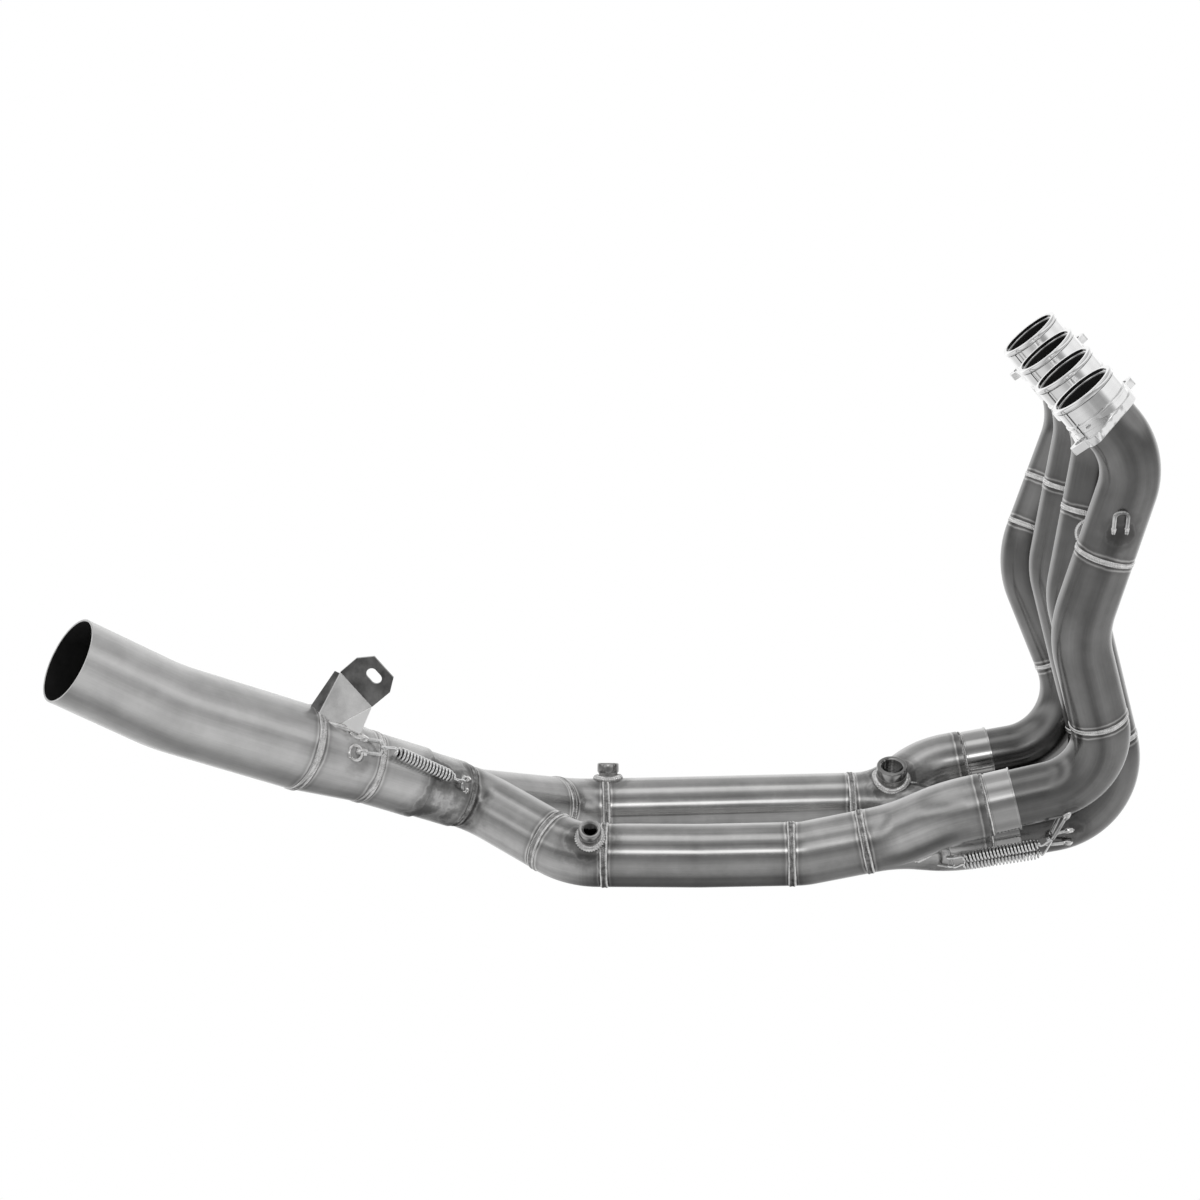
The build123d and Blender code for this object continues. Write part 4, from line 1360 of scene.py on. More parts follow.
@dataclass(frozen=True)
class SaddleWeld:
    """A fillet of weld round the foot of a branch that stands on a tube.

    Attributes:
        centre: Point on the tube's axis under the branch, in mm.
        branch: Way of the branch.
        main: Way of the tube.
        tube: Tube radius in mm.
        radius: Branch radius in mm.
        size: Radius of the fillet in mm.
    """

    centre: Triple
    branch: Triple
    main: Triple
    tube: float
    radius: float
    size: float = 2.2

    def mesh(self, name: str, seed: float) -> bpy.types.Mesh:
        """Carries a rippled circle round the curve on which branch and tube meet.

        At angle a round the branch the height h over the tube's axis solves: h squared plus the
        branch radius squared, less the square of the part along the tube, is the tube radius
        squared. The circle's radius is the size times one plus 0.13 times a sine of the travel.

        Args:
            name: Mesh name.
            seed: Number that shifts the ripples.

        Returns:
            The mesh.
        """
        angle = np.arange(180) * ROUND / 180
        branch, main = unit(np.array(self.branch, dtype=float)), unit(np.array(self.main, dtype=float))
        flat = unit(main - branch * np.dot(main, branch))
        over = np.cross(branch, flat)
        lean, square = np.dot(main, branch), np.dot(main, flat)
        reach = self.radius * np.cos(angle)
        inner = (reach**2 * lean**2 * square**2
                 - square**2 * (self.radius**2 - reach**2 * square**2 - self.tube**2))
        height = (reach * lean * square + np.sqrt(np.maximum(inner, 0))) / square**2
        radial = flat * np.cos(angle)[:, None] + over * np.sin(angle)[:, None]
        path = np.array(self.centre) + branch * height[:, None] + radial * self.radius
        heading = unit(np.roll(path, -1, axis=0) - np.roll(path, 1, axis=0))
        side = unit(radial - heading * np.sum(radial * heading, axis=1)[:, None])
        stations = Stations(angle * self.radius * MM, path * MM, heading, side)
        round_angle = np.arange(14) * ROUND / 14
        waves = round(self.radius * ROUND / 1.5)
        swell = 1 + 0.13 * np.sin(waves * angle[:, None] + 1.2 * np.cos(round_angle)[None, :] + seed)
        points = ring_grid(stations, self.size * MM * swell, round_angle)
        mesh = grid_mesh(name, points, np.append(stations.distance, ROUND * self.radius * MM),
                         np.append(round_angle, ROUND) * self.size * MM, True)
        mesh.shade_smooth()
        return mesh


def crotch_path(legs: Sequence[Centreline], radius: float, closest: float) -> Array:
    """The line on which two tubes of one size meet, over the top, round the crotch and back below.

    At each distance the middle of the two axes is lifted square to the plane of the legs by the
    root of the tube radius squared less half the gap squared.

    Args:
        legs: The two centre lines.
        radius: Outside radius in metres.
        closest: Half gap at which the seam starts, in metres.

    Returns:
        Points along the seam, in metres.
    """
    distance = np.linspace(0, min(leg.length for leg in legs), 900)
    first, second = (leg.stations(distance) for leg in legs)
    middle = (first.point + second.point) / 2
    half = np.linalg.norm(first.point - second.point, axis=1) / 2
    normal = unit(np.cross(first.point - second.point + 1e-9, first.heading + second.heading))
    keep = (half > closest) & (half < radius)
    lift = np.sqrt(radius**2 - half[keep] ** 2)[:, None] * normal[keep]
    whole = np.concatenate([middle[keep] + lift, (middle[keep] - lift)[::-1]])
    travel = np.concatenate([[0], np.cumsum(np.linalg.norm(np.diff(whole, axis=0), axis=1))])
    even = np.linspace(0, travel[-1], int(travel[-1] / (0.5 * MM)))
    return np.stack([np.interp(even, travel, whole[:, axis]) for axis in range(3)], axis=1)


def seam_mesh(name: str, points: Array, size: float) -> bpy.types.Mesh:
    """A rippled bead along an open path.

    It is a circle carried along the path, whose radius swells by 0.12 of itself each 1.4 mm and
    falls to nothing at both ends.

    Args:
        name: Mesh name.
        points: Points along the path, in metres.
        size: Radius of the bead, in metres.

    Returns:
        The mesh.
    """
    stations = carried_frames(points)
    angle = np.arange(14) * ROUND / 14
    to_end = np.minimum(stations.distance, stations.distance[-1] - stations.distance)
    ends = np.sqrt(np.clip(to_end / size, 0, 1))
    swell = 1 + 0.12 * np.sin(stations.distance[:, None] / (1.4 * MM) * ROUND + 1.2 * np.cos(angle)[None, :])
    grid = ring_grid(stations, size * swell * ends[:, None], angle)
    mesh = grid_mesh(name, grid, stations.distance, np.append(angle, ROUND) * size, False)
    mend(mesh)
    mesh.shade_smooth()
    return mesh


@dataclass(frozen=True)
class Thread:
    """The screw thread inside a boss.

    Attributes:
        mouth: Middle of the boss's mouth in mm.
        foot: Point on the axis below it in mm.
        bore: Bore radius of the boss in mm.
        depth: Length of thread in mm.
        pitch: Pitch in mm.
    """

    mouth: Triple
    foot: Triple
    bore: float
    depth: float
    pitch: float

    def mesh(self, name: str) -> bpy.types.Mesh:
        """Builds a sleeve whose inside is the thread.

        The inside radius is the bore plus 0.05, less half the pitch times a triangle wave of the
        height over the pitch less the turn. The outside is a plain cylinder inside the boss's wall.

        Args:
            name: Mesh name.

        Returns:
            The mesh.
        """
        mouth, foot = np.array(self.mouth), np.array(self.foot)
        axis = unit(foot - mouth)
        across = unit(np.cross(axis, (0.1, 1, 0.2)))
        upright = np.cross(axis, across)
        angle = np.arange(72) * ROUND / 72
        height = np.linspace(1.3, 1.3 + self.depth, int(self.depth * 9))
        wave = (height[:, None] / self.pitch - angle[None, :] / ROUND) % 1.0
        inner = self.bore + 0.05 - 0.5 * self.pitch * (1 - np.abs(2 * wave - 1))
        outer = np.full((len(height), 72), self.bore + 0.4)
        radius = np.vstack([inner, outer[::-1]])
        level = np.concatenate([height, height[::-1]])
        around = across * np.cos(angle)[:, None] + upright * np.sin(angle)[:, None]
        points = (mouth + axis * level[:, None, None] + around[None] * radius[..., None]) * MM
        turn = np.append(angle, ROUND) * self.bore * MM
        mesh = grid_mesh(name, points, np.append(level, level[0]) * MM, turn, True)
        mend(mesh, merge=False, outward=True)
        mesh.shade_smooth()
        mesh.set_sharp_from_angle(angle=np.radians(40))
        return mesh


@dataclass(frozen=True)
class PlainTubes:
    """Every length of plain tube.

    Attributes:
        sleeve_start: Distance along the outlet's axis at which the slip sleeve starts, in mm.
        stub_end: Distance along it at which the outlet stub ends, in mm.
    """

    sleeve_start: float = 33.0
    stub_end: float = 68.0

    def runs(self, layout: Layout) -> list[TubeRun]:
        """Lists the lengths of tube.

        Args:
            layout: Centre lines.

        Returns:
            The runs, in the order in which they are built.
        """
        runs = []
        for number, line in layout.primary.items():
            names, cuts = layout.primary_cuts(number)
            for name, start, end in zip(names, cuts, cuts[1:]):
                node = f"primary_{number}_{name}"
                runs.append(TubeRun(f"tube_{node}", node, line, start, end, PRIMARY_R, PRIMARY_R - WALL,
                                    "primary"))
        near, link = layout.near_tube, layout.link
        neck, inner = layout.past_bend(near), SECONDARY_R - WALL
        sleeve, cone_start, cone_end, stub = ((place + STUB_LAP) * MM for place in (
            self.sleeve_start, CONE_START, CONE_END, self.stub_end))
        return runs + [
            TubeRun("tube_near_neck", "near_collector_neck", near, 0, neck, SECONDARY_R, inner),
            TubeRun("tube_near_secondary", "near_secondary", near, neck, near.length, SECONDARY_R, inner),
            TubeRun("tube_link", "link_pipe", link, cone_end, link.length, LINK_R, LINK_R - WALL, "link"),
            TubeRun("tube_sleeve", "slip_sleeve", link, sleeve, cone_start, SLEEVE_OUT, OUTLET_R + SLIP,
                    "link"),
            TubeRun("tube_stub", "outlet_stub", link, 0, stub, OUTLET_R, SECONDARY_R + SLIP, "link")]

    def build(self, bench: Bench) -> None:
        """Sweeps every length of tube onto the bench."""
        for run in self.runs(bench.layout):
            bench.place(run.name, run.mesh(), Slot.TUBE, (run.finish, "bore"), (run.node,))


@dataclass(frozen=True)
class WeldBeads:
    """A rippled bead on every ring of weld, one piece for each node of beads.

    Attributes:
        thin: Width and height of the primaries' beads in mm.
        core: Half the dull share of the other beads.
        stub_core: The same for the bead on the outlet stub, which is dull nearly all over.
    """

    thin: tuple[float, float] = (4.6, 0.75)
    core: float = 0.5
    stub_core: float = 0.95

    def bead(self, node: str, index: int, weld: Weld) -> WeldRing:
        """The bead of one ring of weld.

        Args:
            node: Node of the part that it belongs to.
            index: Place of the ring within the node.
            weld: Where it lies.

        Returns:
            The bead.
        """
        if node.startswith("primary"):
            return WeldRing(weld, *self.thin)
        if node.startswith("link"):
            return WeldRing(weld, core=0.0 if index else self.stub_core)
        return WeldRing(weld, core=self.core)

    def build(self, bench: Bench) -> None:
        """Lays every bead onto the bench."""
        for node, welds in bench.rings.items():
            beads = [self.bead(node, index, weld).mesh(f"{node}_{index}", index)
                     for index, weld in enumerate(welds)]
            name = node + "_rippled"
            bench.place(name, joined_mesh(name, beads), Slot.WELD, ("weld", "seam"), (node,))


@dataclass(frozen=True)
class Bodies:
    """The collectors, elbows, the drilled tube, the cone and the slip sockets.

    Attributes:
        socket: Outline of a slip socket, as radius and distance from its back end.
        socket_ease: Cut on the socket's corners in mm.
    """

    socket: Outline = ((21.3, 0), (22.8, 0), (22.8, 3), (22.3, 3), (22.3, 4.2), (22.8, 4.2), (22.8, 21.5),
                       (23.4, 21.5), (23.4, 22.7), (21.3, 22.7))
    socket_ease: float = 0.1

    def build(self, bench: Bench) -> None:
        """Dresses the part's own solids, and turns the cone and the sockets."""
        layout = bench.layout
        lines = {"near_collector": layout.near_legs, "far_collector": layout.far_legs,
                 "near_elbow": layout.rear[:1], "far_elbow": layout.rear[1:],
                 "far_secondary": [layout.far_tube], "rear_collector": layout.rear}
        for node, centres in lines.items():
            mesh = merged_mesh(node)
            wrap_chart(mesh, centres, SECONDARY_R * MM, (SECONDARY_R - WALL / 2) * MM)
            finish = "tube" if node == "far_secondary" else "body"
            bench.place(f"body_{node}", mesh, Slot.TUBE, (finish, "bore"), (node,))
        length = CONE_END - CONE_START
        cone = ((OUTLET_R + SLIP, 0), (SLEEVE_OUT, 0), (LINK_R, length), (LINK_R - WALL, length))
        start = along_from(OUTLET_START, OUTLET_WAY, CONE_START)
        mesh = TurnedArc(start, tuple(OUTLET_WAY), across_of(OUTLET_WAY), cone).mesh("turned_cone")
        bench.place("turned_cone", mesh, Slot.TUBE, ("link",), ("link_cone",))
        for number, pipe in PIPES.items():
            arc = TurnedArc(pipe.socket, pipe.socket_way, across_of(pipe.socket_way), self.socket,
                            ease=self.socket_ease)
            bench.place(f"turned_socket_{number}", arc.mesh(f"socket_{number}"), Slot.TUBE, ("socket",),
                        (f"slip_socket_{number}",))


@dataclass(frozen=True)
class Ports:
    """The port ends: rims, split collets with their keys, and cut flanges.

    Attributes:
        rim: Outline of a rim, as radius and depth in mm.
        rim_ease: Cut on its corners in mm.
        collet: Outline of a half collet.
        key: Outline of a key between two halves.
        key_turn: Angle of the first key in degrees.
        half_slab: Half the gap between two halves in degrees.
        half_key: Half a key's angle in degrees.
        flange_edge: Rounding of a flange in mm.
        flange_limit: Smallest angle that it rounds in degrees.
    """

    rim: Outline = ((21.65, 0), (24.2, 0), (24.8, 0.6), (24.8, 3.1), (24.0, 3.9), (21.3, 3.9), (21.3, 2.6),
                    (21.65, 2.6))
    rim_ease: float = 0.12
    collet: Outline = ((21.3, 4.1), (24.2, 4.1), (24.2, 14.5), (23.4, 14.5), (23.4, 15.4), (25.0, 15.4),
                       (25.0, 17.2), (24.2, 17.2), (24.2, 22.1), (21.3, 22.1))
    key: Outline = ((21.3, 4.3), (23.7, 4.3), (23.7, 22.0), (21.3, 22.0))
    key_turn: float = 139.0
    half_slab: float = 3.1
    half_key: float = 1.9
    flange_edge: float = 0.35
    flange_limit: float = 50.0

    def build(self, bench: Bench) -> None:
        """Turns the rims, collets and keys, and dresses the flanges."""
        rims, collets, keys = [], [], []
        for number, pipe in PIPES.items():
            seat = ((0.0, pipe.port_y, 0.0), PORT_WAY, PORT_ACROSS)
            rims.append(TurnedArc(*seat, self.rim, ease=self.rim_ease).mesh(f"rim_{number}"))
            for half in (0, 180):
                turn = self.key_turn + half
                collet = TurnedArc(*seat, self.collet, turn + self.half_slab, 180 - 2 * self.half_slab)
                collets.append(collet.mesh(f"half_{number}"))
                key = TurnedArc(*seat, self.key, turn - self.half_key, 2 * self.half_key)
                keys.append(key.mesh(f"key_{number}"))
        for node, meshes in (("port_rims", rims), ("port_collets", collets), ("collet_keys", keys)):
            name = "turned_" + node
            bench.place(name, joined_mesh(name, meshes), Slot.MACHINED, ("machined",), (node,))
        for number in PIPES:
            node = f"port_flange_{number}"
            piece = bench.place(f"cut_flange_{number}", merged_mesh(node), Slot.MACHINED, ("plate",), (node,))
            soften_edges(piece, self.flange_edge, self.flange_limit)


@dataclass(frozen=True)
class Joints:
    """The springs over the slip joints, the wire loops that hold them, and two curls of weld.

    Attributes:
        seats: Primary, middles of the end coils and middles of the eyes of each slip joint's spring.
        coil: Outside diameter, wire diameter and turns of those springs.
        link_coil: The same for the spring of the outlet's joint.
        link_stand: Distance of that spring's axis from the stub's surface.
        near: Corners of the near collector's loop.
        far: Corners of the far collector's loop.
        upper: Corners of the loops on the outer primaries.
        lower: Corners of the loops on the inner primaries.
        hanger: Corners of the hanger loop.
        sleeve_seat: Distance along the outlet's axis and degrees down of the loop on the sleeve.
        stub_seat: The same for the loop on the outlet stub.
        curls: Degrees down, half length and half width of each curl of weld.
        curl_place: Distance of the curls along the outlet's axis.
        curl_size: Radius of the bead that they are drawn with.
    """

    seats: tuple[tuple[int, tuple[Triple, Triple], tuple[Triple, Triple]], ...] = (
        (4, ((-63.9, -85.5, -357), (-9, -89, -345)), ((-73, -85, -357), (-1.5, -91.5, -340))),
        (1, ((-60.4, 85.5, -374), (-5.5, 89, -363)), ((-69.5, 85, -374), (1.5, 91.5, -359))),
        (3, ((-62.3, -77, -365.5), (-5.5, -74.5, -357)), ((-71.5, -82.5, -364.5), (0.5, -73.8, -349))),
        (2, ((-58.8, 77, -382), (-1.5, 73.5, -371.5)), ((-68, 82.5, -381.5), (4.5, 72.5, -363))))
    coil: Triple = (8.6, 1.75, 22)
    link_coil: Triple = (10.0, 2.0, 18)
    link_stand: float = 7.8
    near: tuple[Triple, ...] = ((-90, -66, -345), (-75.5, -86, -351), (-71.5, -83, -365), (-86, -63, -369))
    far: tuple[Triple, ...] = ((-86, 66, -362), (-72, 86, -368), (-68, 83, -382), (-82, 63, -386))
    upper: tuple[tuple[int, tuple[Triple, ...]], ...] = (
        (4, ((10, -103, -314), (-1, -98, -338), (-1, -86, -339), (10, -80, -317))),
        (1, ((13, 103, -333), (2, 98, -357), (2, 86, -358), (13, 80, -336))))
    lower: tuple[tuple[int, tuple[Triple, ...]], ...] = (
        (3, ((19, -66, -341), (1, -73.5, -343), (0, -73.5, -350.5), (18, -66, -351))),
        (2, ((23, 65, -355), (5, 72.5, -357), (4, 72.5, -364.5), (22, 65, -365))))
    hanger: tuple[Triple, ...] = ((24.3, -146.8, -98.5), (24.3, -151.6, -83.2), (33.3, -151.6, -83.2),
                                  (33.3, -146.8, -98.5))
    sleeve_seat: tuple[float, float] = (83.5, 51.5)
    stub_seat: tuple[float, float] = (11.5, 63)
    curls: tuple[Triple, ...] = ((38.0, 5.6, 2.6), (68.0, 5.4, 4.6))
    curl_place: float = 104
    curl_size: float = 1.3

    def build(self, bench: Bench) -> None:
        """Winds the springs, bends the loops and lays the curls."""
        for spring in self._springs():
            bench.place(spring.name, spring.mesh(), Slot.SPRING, ("spring",), (spring.node,))
        pairs = [WireLoop(f"loop_pipe_{number}", points).meshes() for number, points in self.upper]
        pairs += [WireLoop(f"loop_pipe_{number}", points, bend=2.6).meshes() for number, points in self.lower]
        wires, feet = ([pair[half] for pair in pairs] for half in (0, 1))
        bench.place("bent_pipe_loops", joined_mesh("bent_pipe_loops", wires), Slot.FITTING, ("wire",),
                    ("pipe_loops",))
        bench.place("pipe_loop_feet", joined_mesh("pipe_loop_feet", feet), Slot.WELD, ("weld",))
        curls = [seam_mesh(f"curl_{index}", self._curl(*curl), self.curl_size * MM)
                 for index, curl in enumerate(self.curls)]
        bench.place("link_curls", joined_mesh("link_curls", curls), Slot.WELD, ("weld",))
        for loop in (WireLoop("loop_near_collector", self.near), WireLoop("loop_far_collector", self.far),
                     WireLoop("loop_hanger", self.hanger, bend=4.0, wire=3.4, puddle=2.6),
                     WireLoop("loop_link", self._beside(self.sleeve_seat, SLEEVE_OUT, 11, 19), wire=3.2,
                              puddle=4.4),
                     WireLoop("loop_outlet", self._beside(self.stub_seat, OUTLET_R, 9, -9), wire=2.8)):
            wire, foot = loop.meshes()
            bench.place(loop.name, wire, Slot.FITTING, ("wire",), (loop.name[5:] + "_loop",))
            bench.place(loop.name + "_feet", foot, Slot.WELD, ("weld",))

    def _springs(self) -> list[CoilSpring]:
        """The four springs of the primaries' joints and the one of the outlet's joint."""
        outer, wire, turns = self.coil
        springs = [CoilSpring(f"spring_slip_{number}", f"slip_spring_{number}", ends, hooks, outer, wire,
                              (0, -1 if number > 2 else 1, 0), turns)
                   for number, ends, hooks in self.seats]
        stand = OUTLET_R + self.link_stand
        ends = (on_link(21.5, 63, stand), on_link(72.5, 51.5, stand))
        eyes = (on_link(*self.stub_seat, OUTLET_R, (0, 1, 5)),
                on_link(*self.sleeve_seat, SLEEVE_OUT, (0, -1, 6)))
        away = tuple(unit(np.array(eyes[0]) - np.array(on_link(*self.stub_seat, 0, (0, 1, 0)))))
        outer, wire, turns = self.link_coil
        return springs + [CoilSpring("spring_link", "link_spring", ends, eyes, outer, wire, away, turns)]

    def _beside(self, seat: tuple[float, float], surface: float, width: float, reach: float,
                rise: float = 5) -> list[Triple]:
        """Corners of a U of wire on a tube's surface, its legs reaching along the link pipe, in mm."""
        half = width / 2
        return [on_link(*seat, surface, offset)
                for offset in ((-half, reach, -1), (-half, 0, rise), (half, 0, rise), (half, reach, -1))]

    def _curl(self, angle: float, wide: float, tall: float) -> Array:
        """A turn and a tenth of a widening oval on the cone, that rises a little as it goes.

        Args:
            angle: Degrees down from the top.
            wide: Half its length in mm.
            tall: Half its width in mm.

        Returns:
            Points along it, in metres.
        """
        surface = SLEEVE_OUT + 22 / (CONE_END - CONE_START) * (LINK_R - SLEEVE_OUT) + 0.2
        path = [on_link(self.curl_place + wide * np.cos(turn),
                        angle + np.degrees(tall * (1 + 0.05 * turn) / surface * np.sin(turn)),
                        surface + 0.12 * turn)
                for turn in np.linspace(0.3, 0.3 + 1.1 * ROUND, 60)]
        return np.array(path) * MM

    def spots(self) -> list[tuple[Triple, float]]:
        """Middle and radius of the dark marks, in mm: painted shadow round the feet of the loops, and stain
        patches and dark rings on the outlet stub.
        """
        loops = [self.near, self.far, self.hanger, *dict(self.upper).values(), *dict(self.lower).values()]
        # Painted shadow round the feet of the loops.
        spots = [(loop[foot], 3.0) for loop in loops for foot in (0, -1)]
        spots += [(on_link(99, angle, SLEEVE_OUT), 3.0) for angle in (40, 63)]
        # Stain patches and dark rings on the outlet stub.
        spots += [(on_link(distance, angle, OUTLET_R), size) for distance, angle, size in (
            (4, 60, 10), (14, 66, 9), (20, 84, 6), (29, 114, 9), (8, 100, 6), (2, 130, 9), (24, 50, 5))]
        spots += [(on_link(32, angle, OUTLET_R), 2.5) for angle in range(20, 160, 8)]
        spots += [(on_link(-2, angle, OUTLET_R), 4.0) for angle in range(20, 160, 10)]
        return spots


@dataclass(frozen=True)
class Boss:
    """A threaded boss on a secondary, in mm.

    Attributes:
        node: Node of the part that it stands for.
        mouth: Middle of its mouth.
        foot: Point below it on the tube's axis.
        main: Way of the tube there.
        outer: Radius of its collar.
        bore: Radius of its bore.
        length: Its height.
        pitch: Pitch of its thread.
        fillet: Radius of the fillet of weld round its foot.
        stain: Distance from the tube's axis, and radius, of the stain round it.
    """

    node: str
    mouth: Triple
    foot: Triple
    main: Triple
    outer: float
    bore: float
    length: float
    pitch: float
    fillet: float
    stain: tuple[float, float]

    @property
    def way(self) -> Array:
        """The way from its mouth to its foot."""
        return np.array(self.foot, dtype=float) - np.array(self.mouth)

    def profile(self) -> Outline:
        """Its outline: a chamfered mouth, a full collar, and a neck that draws in below it."""
        outer, bore, length, neck = self.outer, self.bore, self.length, self.outer - 1.5
        return ((bore + 1, 0), (outer - 0.8, 0), (outer, 0.8), (outer, 0.45 * length),
                (neck, 0.62 * length), (neck, length), (bore + 0.4, length), (bore + 0.4, 1.4), (bore, 1.2))

    def saddle(self) -> SaddleWeld:
        """The fillet of weld round its foot."""
        return SaddleWeld(self.foot, tuple(-self.way), self.main, SECONDARY_R, self.outer, self.fillet)

    def spot(self) -> tuple[Triple, float]:
        """Middle and radius of the stain round it."""
        lift, radius = self.stain
        return tuple(np.array(self.foot) + unit(-self.way) * lift), radius


@dataclass(frozen=True)
class Branches:
    """The bosses with their threads, and the welds of every branch and crotch.

    Attributes:
        bosses: The bosses.
        balance_r: Radius of the balance tubes in mm.
        balance_place: Their distance past an inner primary's first bend in mm.
        balance_fillet: Radius of the fillet round their ends in mm.
        crotch: Half gap of two legs at which the weld between them starts in mm.
        crotch_size: Radius of that weld in mm.
    """

    bosses: tuple[Boss, ...] = (
        Boss("lambda_bung", (-104.6, 50, -328), (-104.6, 64, -362), (1, 0.03, 0.02),
             12.0, 8.2, 17.0, 1.5, 3.4, (21.0, 17.0)),
        Boss("probe_bung_near", (-339, -79, -338.2), (-339, -57, -366.4), (1, -0.04, 0.01),
             8.5, 5.3, 14.5, 1.25, 3.3, (22.0, 12.0)),
        Boss("probe_bung_far", (-326.4, 67.2, -332.4), (-326.4, 56.7, -366.7), (1, 0.04, 0.02),
             8.5, 5.3, 14.5, 1.25, 3.0, (22.0, 12.0)))
    balance_r: float = 10.0
    balance_place: float = 47.5
    balance_fillet: float = 2.0
    crotch: float = 7.0
    crotch_size: float = 2.0

    def build(self, bench: Bench) -> None:
        """Turns the bosses, cuts their threads, and lays the welds."""
        for boss in self.bosses:
            name = "boss_" + boss.node
            mesh = TurnedArc(boss.mouth, tuple(boss.way), across_of(boss.way), boss.profile()).mesh(name)
            bench.place(name, mesh, Slot.FITTING, ("boss",), (boss.node,))
            name = "thread_" + boss.node
            thread = Thread(boss.mouth, boss.foot, boss.bore, boss.length - 3, boss.pitch)
            bench.place(name, thread.mesh(name), Slot.FITTING, ("thread",))
        saddles = [boss.saddle() for boss in self.bosses]
        for outside, inside in ((1, 2), (4, 3)):
            saddles += self._balance_saddles(bench.layout, outside, inside)
        meshes = [saddle.mesh(f"saddle_{index}", index) for index, saddle in enumerate(saddles)]
        bench.place("branch_welds", joined_mesh("branch_welds", meshes), Slot.WELD, ("weld",))
        seams = [seam_mesh(f"crotch_{index}", crotch_path(legs, SECONDARY_R * MM, self.crotch * MM),
                           self.crotch_size * MM)
                 for index, legs in enumerate((bench.layout.near_legs, bench.layout.far_legs))]
        bench.place("crotch_welds", joined_mesh("crotch_welds", seams), Slot.WELD, ("weld",))

    def _balance_saddles(self, layout: Layout, outside: int, inside: int) -> list[SaddleWeld]:
        """The fillets at both ends of a balance tube.

        Args:
            layout: Centre lines.
            outside: Number of the outer primary.
            inside: Number of the inner primary.

        Returns:
            The fillet on the inner primary and the one on the outer primary.
        """
        line = layout.primary[inside]
        spot = line.stations(line.after(0) + self.balance_place * MM)
        middle = spot.point[0] / MM
        outward = np.sign(PIPES[outside].port_y - middle[1])
        other = layout.primary[outside].stations(np.linspace(0, layout.primary[outside].length, 900))
        nearest = np.abs(other.point[:, [0, 2]] / MM - middle[[0, 2]]).sum(axis=1).argmin()
        centre = (middle[0], float(other.point[nearest, 1] / MM), middle[2])
        size = (PRIMARY_R, self.balance_r, self.balance_fillet)
        return [SaddleWeld(tuple(middle), (0, outward, 0), tuple(spot.heading[0]), *size),
                SaddleWeld(centre, (0, -outward, 0), tuple(other.heading[nearest]), *size)]

    def spots(self) -> list[tuple[Triple, float]]:
        """Middle and radius of the stain round every boss, in mm."""
        return [boss.spot() for boss in self.bosses]


@dataclass(frozen=True)
class Plate:
    """A flat piece of sheet with straight edges.

    Attributes:
        name: Piece name.
        corners: Corners of its outer face, in mm, anticlockwise.
        thickness: Thickness in mm, behind that face.
    """

    name: str
    corners: Sequence[Triple]
    thickness: float

    def mesh(self) -> bpy.types.Mesh:
        """Extrudes the outline.

        Each back corner is its front corner less the normal times the thickness.

        Returns:
            The mesh.
        """
        front = np.array(self.corners, dtype=float)
        normal = unit(np.cross(front[1] - front[0], front[-1] - front[0]))
        count = len(front)
        points = np.concatenate([front, front - normal * self.thickness]) * MM
        sides = [(index, index + count, (index + 1) % count + count, (index + 1) % count)
                 for index in range(count)]
        faces = [tuple(range(count)), tuple(range(2 * count - 1, count - 1, -1)), *sides]
        mesh = bpy.data.meshes.new(self.name)
        mesh.from_pydata(points.tolist(), [], faces)
        mesh.uv_layers.new(name="Surface")
        work = bmesh.new()
        work.from_mesh(mesh)
        bmesh.ops.triangulate(work, faces=[face for face in work.faces if len(face.verts) > 4])
        bmesh.ops.recalc_face_normals(work, faces=work.faces)
        work.to_mesh(mesh)
        work.free()
        return mesh


